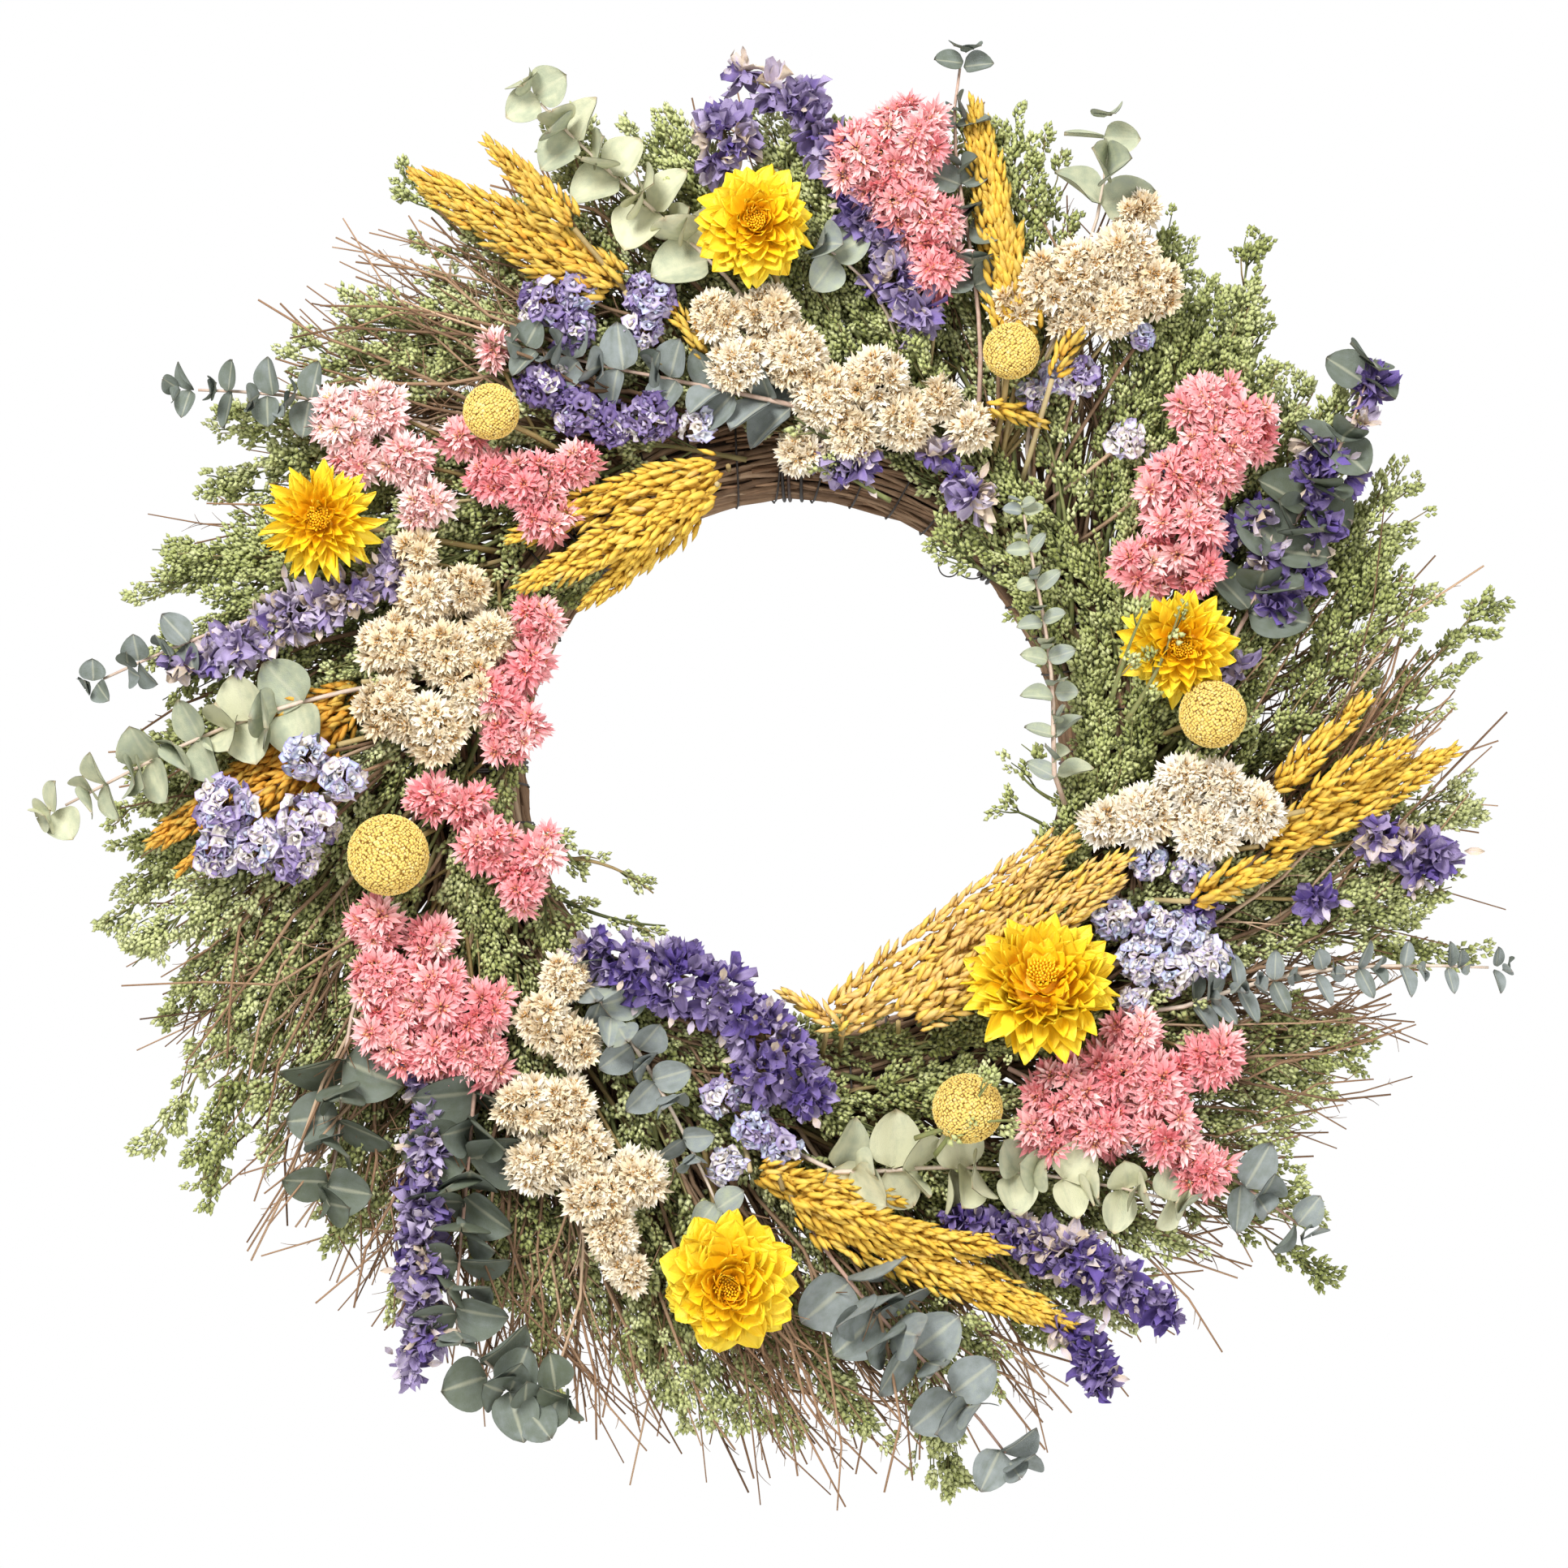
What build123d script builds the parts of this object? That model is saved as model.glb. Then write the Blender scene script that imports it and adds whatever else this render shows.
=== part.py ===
from build123d import *
import os
from math import atan2, cos, degrees, hypot, radians, sin, sqrt

# Dried-flower wreath that hangs on a wall or a door.
#
# Frame: seen from the front, which faces -Y, +X is right and +Z is up.  The wall is the plane y = 0.
# The origin is where a nail or a hook carries the wreath: under the top of the hole, at the wall.
# Positions written (x, z) are in millimetres from the centre of the hole.  Angles are in degrees
# from +X and grow counter-clockwise as seen from the front, which is the way everything sweeps.

# ---- Driving dimensions (mm and degrees) --------------------------------------------------------
hole_diameter = 195.0  # clear round hole through the wreath
core_radius = 22.0  # radius of the bound bundle of stems
core_middle = 20.0  # depth of the bundle's centre line in front of the wall
bunch_count = 8  # bound bunches that make the ring, end to end
twigs_per_bunch = 13
twig_reach = 258.0  # radius of the longest twig tips
twig_reach_step = 9.0  # twigs end in four rows, this far apart
twig_lean = 27.0  # angle by which a twig's tip runs ahead of its root
twig_lean_step = 4.0  # neighbouring twigs lean in five directions, this far apart
twig_depth = 9.0  # depth of the twig tips nearest the wall
twig_depth_step = 6.0
twig_root_radius = 2.0
twig_tip_radius = 0.7
stick_depth = 30.0  # depth of the tips of the thick sticks
groove_depth = 1.6  # waist in the bundle that the binding wire sits in
groove_half_angle = 1.7
wire_size = 1.3  # thickness of the binding wire
wire_turns = 3
wire_pitch = 1.95  # from one turn to the next
stalk_lag = 0.15  # degrees that a stalk's root trails its head, for each mm that it reaches out
frond_layer = 44.0  # depth of the green sprays' centre line
frond_depth_step = 5.0
flower_layer = 54.0  # depth at which the flower clusters begin
daisy_layer = 57.0
statice_layer = 55.0
grain_layer = 62.0
grain_step = 7.0  # every second grain head stands this much further out
leaf_layer = 56.0  # depth of a sprig's first leaves
sprig_rise = 4.0  # by which its last leaves stand further out
button_layer = 62.0  # depth of the back of the billy buttons
head_layer = 68.0  # depth of the back of the strawflowers
stem_radius = 1.1
leaf_thickness = 1.2
leaf_spread = 68.0  # angle between a leaf and its stem
leaf_slant = 28.0  # turn of each leaf about its own length, so that neighbours overlap like tiles
leaf_shrink = 0.4  # by which the last pair of leaves is smaller than the first

# ---- Derived ------------------------------------------------------------------------------------
ring_radius = hole_diameter / 2 + core_radius
centre_z = -hole_diameter / 2
ring_axis = Axis((0, 0, centre_z), (0, -1, 0))
bunch_arc = 360.0 / bunch_count
to_front = Vector(0, -1, 0)


def at(x, z, depth):
    """The point (x, z) from the hole's centre, this far in front of the wall."""
    return Vector(x, -depth, centre_z + z)


def polar(radius, angle, depth):
    """The point at this radius and angle around the hole, this far in front of the wall."""
    return at(radius * cos(radians(angle)), radius * sin(radians(angle)), depth)


def radial_plane(angle):
    """Plane across the ring: local x is outwards from the hole, local y is towards the wall."""
    outward = Vector(cos(radians(angle)), 0, sin(radians(angle)))
    return Plane(origin=(0, 0, centre_z), x_dir=outward, z_dir=outward.cross(Vector(0, 1, 0)))


def core_surface(radius, angle):
    """The front of the bound bundle at this radius and angle."""
    offset = (radius - ring_radius) / core_radius
    return polar(radius, angle, core_middle + core_radius * sqrt(1 - offset * offset))


def stalk_root(x, z):
    """Where the stalk of a head at (x, z) is bound in, a little behind it in the sweep."""
    radius = hypot(x, z)
    root_radius = max(ring_radius - 12, min(ring_radius + 12, radius))
    lag = stalk_lag * abs(radius - root_radius)
    return core_surface(root_radius, degrees(atan2(z, x)) - lag)


def rod(start, end, start_radius, end_radius):
    """Adds a straight tapered stem to the open part."""
    along = end - start
    with Locations(Plane(origin=start, z_dir=along)):
        Cone(start_radius, end_radius, along.length, align=(Align.CENTER, Align.CENTER, Align.MIN))


def curved_stem(points, radius):
    """Makes a stem that bends smoothly through these points."""
    with BuildPart() as stem:
        with BuildLine():
            route = Spline(*points)
        with BuildSketch(Plane(origin=route @ 0, z_dir=route % 0)):
            Circle(radius)
        sweep()
    return stem.part


def spindle(start, end, radius):
    """Adds a pointed body of revolution, fullest at a third of its length."""
    along = end - start
    length = along.length
    with BuildSketch(Plane(origin=start, x_dir=along, z_dir=along.cross(to_front))) as profile:
        with BuildLine():
            Polyline(
                (0, 0), (0, 0.35 * radius), (0.12 * length, 0.8 * radius), (0.33 * length, radius),
                (0.65 * length, 0.75 * radius), (0.9 * length, 0.3 * radius), (length, 0), (0, 0),
            )
        make_face()
    revolve(profile.sketch, axis=Axis(start, along))


def write(name, *pieces):
    """Writes one node, made of one piece or of the separate pieces that are bound together."""
    node = pieces[0] if len(pieces) == 1 else Compound(children=list(pieces))
    node.label = name
    export_step(node, f"parts/{name}.step")


# ---- Ring: bunches of twigs bound end to end ----------------------------------------------------
# Thick sticks: bunch, root angle, tip (x, z), radius.
thick_sticks = [
    (2, 112, (-191, 165), 2.4),
    (3, 158, (-249, 16), 3.2),
    (0, 16, (203, 166), 1.8),
    (7, 338, (245, 56), 2.2),
    (4, 204, (-196, -160), 1.8),
    (5, 250, (-20, -258), 2.4),
]


def bundle_section(inset):
    """Draws the round bundle, pressed flat against the wall, on the open radial sketch."""
    with Locations((ring_radius, -core_middle)):
        Circle(core_radius - inset)
    with Locations((ring_radius, -inset)):
        Rectangle(3 * core_radius, 3 * core_radius, align=(Align.CENTER, Align.MAX),
                  mode=Mode.INTERSECT)


def twig_bunch(index):
    """One arc of the bound ring, with its twigs fanned outwards and ahead."""
    first = index * bunch_arc
    with BuildPart() as bunch:
        with BuildSketch(radial_plane(first)):
            bundle_section(groove_depth)
        revolve(axis=ring_axis, revolution_arc=bunch_arc)
        with BuildSketch(radial_plane(first + groove_half_angle)):
            bundle_section(0)
        revolve(axis=ring_axis, revolution_arc=bunch_arc - 2 * groove_half_angle)
        for i in range(twigs_per_bunch):
            root_angle = first + bunch_arc * (i + 0.5) / twigs_per_bunch
            tip_angle = root_angle + twig_lean + twig_lean_step * ((7 * i) % 5 - 2)
            reach = twig_reach - twig_reach_step * ((5 * i + index) % 4)
            depth = twig_depth + twig_depth_step * ((3 * i + index) % 5)
            root = polar(ring_radius + 0.5 * core_radius, root_angle, core_middle)
            rod(root, polar(reach, tip_angle, depth), twig_root_radius, twig_tip_radius)
        for bunch_index, root_angle, tip, radius in thick_sticks:
            if bunch_index == index:
                root = polar(ring_radius + 0.4 * core_radius, root_angle, core_middle)
                rod(root, at(*tip, stick_depth), radius, 0.8 * radius)
    return bunch.part


def binding_wire():
    """Turns of wire in the waists where two bunches meet."""
    with BuildPart() as wire:
        for joint in range(bunch_count):
            for turn in range(wire_turns):
                shift = (turn - (wire_turns - 1) / 2) * wire_pitch
                with BuildSketch(radial_plane(joint * bunch_arc).offset(shift)):
                    bundle_section(groove_depth - wire_size)
                    offset(amount=-wire_size, mode=Mode.SUBTRACT)
                extrude(amount=wire_size / 2, both=True)
    return wire.part


# ---- Green sprays -------------------------------------------------------------------------------
spray_count = 5
outer_fronds = 35
outer_reach = 244.0  # radius of the longest outer tips
outer_reach_step = 8.0  # outer fronds end in four rows, this far apart
outer_lean = 27.0  # angle by which a frond's tip runs ahead of its root
outer_lean_step = 3.0
inner_fronds = 20
inner_reach = 168.0
inner_lean = 32.0
inner_rise = 9.0  # by which the inner row stands further out than the outer one
frond_radius = 8.0
wisp_drop = 14.0  # by which the long wisps lie nearer the wall
# Long wisps that stand out past the rest: root angle, tip (x, z).
wisps = [
    (176, (-240, -140)),
    (184, (-218, -160)),
    (112, (-146, 222)),
    (338, (252, -72)),
    (300, (196, -190)),
    (286, (60, -268)),
    (18, (170, 192)),
    (350, (258, 62)),
    (150, (-253, -58)),
]


def frond(root, tip, radius):
    """A soft tapering plume of fine buds, with a shoulder on each side."""
    along = tip - root
    across = along.cross(to_front).normalized()
    with BuildPart() as plume:
        rod(root, root + along * 0.45, stem_radius, 0.8 * stem_radius)
        spindle(root + along * 0.3, tip, radius)
        for side, start, end in ((1, 0.28, 0.72), (-1, 0.4, 0.84)):
            spindle(root + along * start, root + along * end + across * side * 1.7 * radius,
                    0.75 * radius)
    return plume.part


def all_fronds():
    """Every frond with the angle of its root: an outer row, an inner row and the long wisps."""
    for i in range(outer_fronds):
        angle = 360.0 * i / outer_fronds
        depth = frond_layer + frond_depth_step * ((2 * i) % 3 - 1)
        reach = outer_reach - outer_reach_step * ((3 * i) % 4)
        tip_angle = angle + outer_lean + outer_lean_step * ((5 * i) % 3 - 1)
        yield angle, frond(core_surface(ring_radius + 9, angle),
                           polar(reach, tip_angle, depth), frond_radius)
    for i in range(inner_fronds):
        angle = 360.0 * (i + 0.5) / inner_fronds
        yield angle, frond(core_surface(ring_radius - 6, angle),
                           polar(inner_reach, angle + inner_lean, frond_layer + inner_rise),
                           0.75 * frond_radius)
    for angle, tip in wisps:
        yield angle, frond(core_surface(ring_radius + 14, angle),
                           at(*tip, frond_layer - wisp_drop), 0.7 * frond_radius)


# ---- Eucalyptus ---------------------------------------------------------------------------------
# Each node: its sprigs as (stem points (x, z), pairs of leaves, leaf length, leaf width).
eucalyptus = [
    [([(-22, 177), (-50, 203), (-75, 225), (-98, 249)], 5, 19, 16),
     ([(30, 174), (8, 192)], 1, 14, 12)],
    [([(-166, 133), (-196, 137), (-226, 138)], 4, 15, 9),
     ([(-212, 50), (-236, 40), (-260, 29)], 3, 13, 9)],
    [([(10, 130), (-30, 139), (-70, 147), (-101, 154)], 6, 17, 12)],
    [([(-168, 27), (-205, 16), (-240, 0), (-274, -18)], 6, 18, 16)],
    [([(-163, -94), (-166, -126), (-172, -160)], 3, 20, 17),
     ([(-115, -106), (-119, -140), (-122, -172), (-124, -206)], 5, 22, 18),
     ([(-122, -210), (-106, -229), (-84, -228)], 3, 18, 14)],
    [([(-88, -66), (-66, -92), (-48, -120), (-24, -170)], 6, 17, 12)],
    [([(12, -178), (30, -200), (52, -222), (82, -258)], 5, 21, 15),
     ([(2, -146), (50, -147), (100, -151), (143, -160)], 7, 17, 14),
     ([(152, -146), (172, -158), (190, -172)], 2, 15, 9)],
    [([(140, -89), (166, -80), (213, -73), (262, -74)], 9, 14, 6),
     ([(97, -12), (95, 26), (90, 62), (83, 98)], 8, 12, 6)],
    [([(160, 44), (178, 80), (194, 106), (212, 150)], 5, 19, 15)],
    [([(68, 165), (64, 195), (59, 228), (63, 264)], 5, 16, 11),
     ([(110, 196), (114, 214), (113, 238)], 2, 18, 13)],
]


def leaf(root, along, facing, length, width):
    """A flat rounded leaf that starts at root and lies across facing."""
    with BuildPart() as blade:
        with BuildSketch(Plane(origin=root, x_dir=along, z_dir=facing)):
            with Locations((length / 2, 0)):
                Ellipse(length / 2, width / 2)
        extrude(amount=leaf_thickness / 2, both=True)
    return blade.part


def sprig(route, pairs, length, width):
    """A eucalyptus sprig: its stem, bound into the ring, and its paired leaves, smaller to the tip."""
    steps = len(route) - 1
    points = [at(x, z, leaf_layer + sprig_rise * i / steps) for i, (x, z) in enumerate(route)]
    stem = curved_stem([stalk_root(*route[0]), *points], 0.8 * stem_radius)
    leaves = []
    for pair in range(pairs):
        place = steps * (pair + 0.6) / pairs
        run = min(int(place), steps - 1)
        start, end = points[run], points[run + 1]
        node = start + (end - start) * (place - run)
        along = (end - start).normalized()
        size = 1.0 - leaf_shrink * pair / pairs
        for side in (-1, 1):
            outward = along.rotate(Axis.Y, side * leaf_spread)
            facing = to_front.rotate(Axis((0, 0, 0), outward), -side * leaf_slant)
            root = node + to_front * (1.2 * stem_radius)
            leaves.append(leaf(root, outward, facing, size * length, size * width))
    return [stem, *leaves]


# ---- Grain heads --------------------------------------------------------------------------------
# Each node: its heads as (base (x, z), tip (x, z), half width).
grain = [
    [((-62, 174), (-146, 221), 11), ((-80, 196), (-114, 230), 7), ((-31, 148), (-45, 170), 4.5)],
    [((84, 154), (64, 251), 11), ((94, 141), (105, 162), 4), ((68, 133), (92, 126), 4)],
    [((-24, 110), (-112, 80), 8), ((-28, 103), (-106, 63), 8), ((-34, 96), (-80, 56), 7)],
    [((-160, 24), (-243, -33), 9), ((-166, 8), (-227, -40), 7), ((-158, 31), (-200, 16), 5)],
    [((176, -10), (216, 31), 6), ((186, -16), (232, 12), 6), ((170, -29), (250, 10), 8),
     ((144, -49), (186, -33), 5)],
    [((12, -97), (111, -19), 8), ((38, -93), (128, -29), 8), ((18, -96), (-4, -82), 3.5)],
    [((-16, -148), (42, -160), 6), ((-4, -154), (84, -178), 7), ((0, -160), (107, -207), 9)],
]


def grain_bunch(heads):
    """Pointed heads of grain, each on its own straw."""
    pieces = []
    for i, (base, tip, half_width) in enumerate(heads):
        depth = grain_layer + grain_step * (i % 2)
        with BuildPart() as head:
            spindle(at(*base, depth), at(*tip, depth - 4), half_width)
        with BuildPart() as straw:
            rod(stalk_root(*base), at(*base, depth), stem_radius, 0.8 * stem_radius)
        pieces += [head.part, straw.part]
    return pieces


# ---- Large single heads -------------------------------------------------------------------------
# (x, z), diameter, and how far the face tips up.
strawflowers = [
    ((-14, 197), 44, 5),
    ((-172, 90), 46, 0),
    ((140, 44), 45, -5),
    ((90, -82), 57, 30),
    ((-24, -187), 53, -5),
]
billy_buttons = [
    ((-110, 129), 21),
    ((79, 151), 21),
    ((152, 19), 25),
    ((-147, -32), 30),
    ((63, -124), 26),
]
petal_rows = [(1.0, 0.0), (0.86, 0.1), (0.68, 0.2)]  # reach and height, as shares of the flower
petals_per_row = 15
petal_length, petal_width = 0.56, 0.3  # as shares of the row's reach
row_thickness = 0.1  # as a share of the flower's diameter
heart_radius, heart_height, heart_taper = 0.42, 0.12, 25.0


def strawflower(place, diameter, tip_up):
    """A papery everlasting: rows of pointed petals round a domed centre, on a stalk."""
    plane = Plane(origin=at(*place, head_layer), x_dir=(1, 0, 0), z_dir=to_front)
    plane = plane.rotated((-tip_up, 0, 0))
    radius = diameter / 2
    with BuildPart(plane) as flower:
        for row, (reach, height) in enumerate(petal_rows):
            with BuildSketch(plane.offset(height * diameter)):
                Circle(0.62 * reach * radius)
                middle_reach = (1 - petal_length / 2) * reach * radius
                turn = row * 180 / petals_per_row
                with PolarLocations(middle_reach, petals_per_row, start_angle=turn):
                    Ellipse(petal_length / 2 * reach * radius, petal_width / 2 * reach * radius)
            extrude(amount=row_thickness * diameter)
        with BuildSketch(plane.offset((height + 0.8 * row_thickness) * diameter)):
            Circle(heart_radius * radius)
        extrude(amount=heart_height * diameter, taper=heart_taper)
    with BuildPart() as stalk:
        rod(stalk_root(*place), plane.origin, stem_radius, 1.4 * stem_radius)
    return [flower.part, stalk.part]


def billy_button(place, diameter):
    """A round flower head on a bare stalk."""
    radius = diameter / 2
    middle = at(*place, button_layer + radius)
    with BuildPart() as ball:
        with Locations(middle):
            Sphere(radius)
    root = stalk_root(*place)
    with BuildPart() as stalk:
        rod(root, middle + (root - middle).normalized() * radius, stem_radius, 1.2 * stem_radius)
    return [ball.part, stalk.part]


# ---- Clusters of small flowers ------------------------------------------------------------------
# Each cluster is a list of lobes (x, z, radius); lists that share a node are written one by one.
pink_daisies = [
    [[(27, 222, 14), (42, 230, 15), (38, 209, 13), (50, 198, 12), (53, 182, 10)]],
    [[(151, 132, 12), (164, 122, 12), (152, 112, 14), (138, 103, 12), (143, 88, 14), (128, 74, 11),
      (147, 72, 10)]],
    [[(124, -98, 10), (118, -113, 13), (98, -118, 13), (92, -132, 10), (112, -131, 12),
      (133, -117, 13), (153, -106, 11), (136, -133, 12), (149, -147, 10)]],
    [[(-153, -59, 10), (-133, -64, 9), (-150, -78, 12), (-132, -83, 14), (-117, -90, 12),
      (-147, -98, 12), (-130, -104, 12), (-114, -107, 10)]],
    [[(-133, -12, 8), (-120, -14, 8), (-112, -29, 10), (-100, -44, 9), (-93, -31, 8)],
     [(-94, 52, 9), (-98, 37, 9), (-108, 26, 9), (-105, 10, 9), (-97, 16, 7)]],
    [[(-165, 127, 11), (-151, 131, 9), (-160, 112, 9), (-142, 112, 10), (-134, 96, 9)],
     [(-121, 120, 8), (-110, 106, 9), (-95, 104, 11), (-80, 112, 8), (-92, 92, 9)],
     [(-110, 153, 6)]],
]
cream_daisies = [
    [[(-28, 165, 10), (-9, 166, 11), (-21, 147, 11), (0, 150, 12), (12, 134, 12), (30, 141, 12),
      (40, 127, 11), (21, 121, 10), (2, 115, 8), (54, 135, 7), (65, 124, 8)]],
    [[(81, 169, 8), (91, 177, 10), (105, 180, 12), (121, 188, 12), (127, 204, 8), (131, 176, 11),
      (117, 167, 10), (102, 166, 9)]],
    [[(113, -20, 8), (127, -18, 11), (143, -6, 10), (156, -9, 11), (150, -22, 12), (168, -16, 11)]],
    [[(-138, 77, 9), (-135, 62, 11), (-120, 65, 9), (-147, 44, 12), (-128, 42, 12), (-110, 48, 10),
      (-118, 30, 11), (-149, 22, 11), (-132, 14, 12), (-114, 22, 8)]],
    [[(-84, -78, 9), (-91, -93, 10), (-80, -101, 9)],
     [(-98, -123, 11), (-84, -124, 11), (-94, -145, 11), (-78, -139, 11), (-71, -156, 12),
      (-57, -150, 11), (-66, -172, 10), (-61, -185, 8)]],
]
statice = [
    [[(-92, 170, 9), (-79, 175, 8), (-81, 160, 8)], [(-53, 172, 9), (-55, 160, 7)],
     [(-92, 140, 9), (-80, 131, 9), (-67, 125, 8), (-52, 128, 9), (-35, 125, 6)]],
    [[(-178, 4, 8), (-165, -4, 8)],
     [(-207, -15, 11), (-196, -28, 10), (-211, -32, 8), (-177, -21, 11), (-182, -33, 9)]],
    [[(105, 143, 7), (95, 144, 6), (88, 136, 6)], [(128, 158, 5)], [(122, 120, 7), (137, 110, 6)],
     [(130, -35, 7), (147, -38, 8), (117, -55, 8), (132, -58, 8), (127, -71, 9), (144, -60, 8),
      (152, -70, 8), (139, -75, 8), (125, -86, 6)],
     [(-27, -121, 7), (-14, -133, 8), (-5, -139, 7), (-25, -146, 7)]],
]
# Larkspur: curved spikes of florets, each a list of (x, z, radius) from the stalk to the tip.
larkspur = [
    [[(45, 166, 7), (38, 180, 9), (27, 203, 9), (16, 224, 9), (2, 244, 8), (-20, 254, 4)],
     [(-28, 222, 7), (-25, 232, 10)], [(22, 111, 7), (12, 113, 5)], [(52, 115, 5), (66, 99, 7)]],
    [[(-146, 72, 8), (-163, 63, 9), (-183, 56, 10), (-203, 45, 9), (-225, 37, 5)]],
    [[(-137, -116, 6), (-134, -140, 9), (-135, -162, 9), (-138, -184, 9), (-136, -205, 8),
      (-140, -219, 6)]],
    [[(-74, -67, 7), (-60, -73, 11), (-44, -78, 13), (-28, -84, 12), (-13, -95, 11), (-8, -109, 14),
      (4, -118, 10)]],
    [[(62, -166, 7), (82, -172, 8), (102, -180, 10), (118, -188, 9), (137, -200, 6)],
     [(98, -206, 5), (110, -216, 7), (113, -227, 6)],
     [(156, 83, 5), (170, 91, 6)], [(176, 60, 7), (188, 69, 5)], [(193, 88, 7), (191, 106, 6)],
     [(190, 117, 5), (202, 111, 5)], [(212, 140, 7)], [(162, 37, 5)],
     [(214, -26, 8)], [(235, -30, 8), (229, -38, 6)], [(192, -49, 6)], [(149, -53, 5)]],
]


def cluster(lobes, depth):
    """Rounded tufts of small heads, pressed against each other, on a shared stalk."""
    pieces = []
    for x, z, radius in lobes:
        with BuildPart() as tuft:
            with Locations(at(x, z, depth + 0.5 * radius)):
                Sphere(radius)
        pieces.append(tuft.part)
    x, z, radius = lobes[0]
    with BuildPart() as stalk:
        rod(stalk_root(x, z), at(x, z, depth), stem_radius, 0.8 * stem_radius)
    return [*pieces, stalk.part]


# ---- Build every node ---------------------------------------------------------------------------
os.makedirs("parts", exist_ok=True)

for i in range(bunch_count):
    write(f"twig_bunch_{i + 1}", twig_bunch(i))
write("binding_wire", binding_wire())

fronds = list(all_fronds())
for i in range(spray_count):
    low, high = 360.0 * i / spray_count, 360.0 * (i + 1) / spray_count
    write(f"green_spray_{i + 1}", *[plume for angle, plume in fronds if low <= angle < high])

for i, sprigs in enumerate(eucalyptus):
    write(f"eucalyptus_{i + 1}", *[piece for each in sprigs for piece in sprig(*each)])

for i, heads in enumerate(grain):
    write(f"grain_bunch_{i + 1}", *grain_bunch(heads))

for i, flower in enumerate(strawflowers):
    write(f"strawflower_{i + 1}", *strawflower(*flower))

for i, flower in enumerate(billy_buttons):
    write(f"billy_button_{i + 1}", *billy_button(*flower))

clusters = {
    "pink_daisies": (pink_daisies, daisy_layer),
    "cream_daisies": (cream_daisies, daisy_layer),
    "statice": (statice, statice_layer),
    "larkspur": (larkspur, flower_layer),
}
for name, (nodes, depth) in clusters.items():
    for i, groups in enumerate(nodes):
        write(f"{name}_{i + 1}", *[piece for lobes in groups for piece in cluster(lobes, depth)])
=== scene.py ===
import math

import bpy
import numpy as np
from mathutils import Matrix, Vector


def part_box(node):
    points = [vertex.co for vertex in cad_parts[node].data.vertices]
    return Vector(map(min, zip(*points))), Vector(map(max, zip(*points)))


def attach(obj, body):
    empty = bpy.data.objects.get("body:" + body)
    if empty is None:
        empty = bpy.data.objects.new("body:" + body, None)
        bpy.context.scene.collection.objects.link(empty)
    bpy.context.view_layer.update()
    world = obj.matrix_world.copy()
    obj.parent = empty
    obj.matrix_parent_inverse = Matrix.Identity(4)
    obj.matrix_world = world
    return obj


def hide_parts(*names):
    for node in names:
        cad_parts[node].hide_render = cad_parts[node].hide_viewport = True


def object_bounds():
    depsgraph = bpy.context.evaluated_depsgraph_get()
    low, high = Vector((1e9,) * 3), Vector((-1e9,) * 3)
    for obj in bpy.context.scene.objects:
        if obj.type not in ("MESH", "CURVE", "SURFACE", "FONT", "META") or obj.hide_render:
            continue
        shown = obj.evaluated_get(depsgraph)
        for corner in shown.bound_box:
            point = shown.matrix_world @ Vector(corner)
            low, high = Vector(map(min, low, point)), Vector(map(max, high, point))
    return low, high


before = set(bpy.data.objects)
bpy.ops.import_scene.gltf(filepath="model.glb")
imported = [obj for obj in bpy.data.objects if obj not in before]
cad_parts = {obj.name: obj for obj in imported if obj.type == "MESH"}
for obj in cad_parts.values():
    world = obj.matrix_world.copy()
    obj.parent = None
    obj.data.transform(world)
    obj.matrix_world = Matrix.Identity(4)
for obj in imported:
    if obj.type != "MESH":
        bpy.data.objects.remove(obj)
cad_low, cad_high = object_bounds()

# The looks of a dried-flower wreath.  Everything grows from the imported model's own solids: each CAD
# node is read, its separate solids are measured, and twigs, buds, leaves, petals or husks are grown
# on them.  Lengths are in millimetres until a mesh is written.  Angles round the ring are in degrees,
# counter-clockwise from +X as seen from the front, which faces -Y.

MM = 0.001
FRONT = np.array([0.0, -1.0, 0.0])
AHEAD = np.array([1.0, 0.0, 0.0])  # the way a petal, head or clump points before it is placed
GOLDEN_ANGLE = math.radians(137.508)

# ---- The ring, measured on the binding wire, which goes round it eight times ----
wire_low, wire_high = [np.array(corner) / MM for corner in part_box("binding_wire")]
centre_z = (wire_low[2] + wire_high[2]) / 2
core_radius = (wire_high[1] - wire_low[1]) / 2
ring_radius = (wire_high[0] - wire_low[0]) / 2 - core_radius
bunches = 8
bunch_arc = 360.0 / bunches


def polar(radius, angle, depth):
    """Points at these radii and angles round the hole, these depths in front of the wall."""
    turn = np.radians(angle)
    parts = np.broadcast_arrays(radius * np.cos(turn), -1.0 * depth, centre_z + radius * np.sin(turn))
    return np.stack(parts, -1)


def unit(vectors):
    return vectors / np.maximum(np.linalg.norm(vectors, axis=-1, keepdims=True), 1e-9)


def frames(forward, facing):
    """Turns whose columns are forward, the side, and what of facing is square to forward."""
    forward = unit(forward)
    facing = facing + np.array([0.003, 0.002, 0.005])
    up = unit(facing - (facing * forward).sum(-1, keepdims=True) * forward)
    return np.stack([forward, np.cross(up, forward), up], -1)


def turned(vectors, axis, angle):
    """Vectors turned about unit axes by angles in radians."""
    c, s = np.cos(angle)[..., None], np.sin(angle)[..., None]
    along = (vectors * axis).sum(-1, keepdims=True) * axis
    return vectors * c + np.cross(axis, vectors) * s + along * (1 - c)


def wheel(side, up, swing):
    """Directions at the angles swing in the plane of side and up."""
    return side * np.cos(swing)[:, None] + up * np.sin(swing)[:, None]


def raised(outward, ahead, lift):
    """Directions raised from outward towards ahead, and what petals that lie along them face."""
    return outward * np.cos(lift) + ahead * np.sin(lift), ahead * np.cos(lift) - outward * np.sin(lift)


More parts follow.
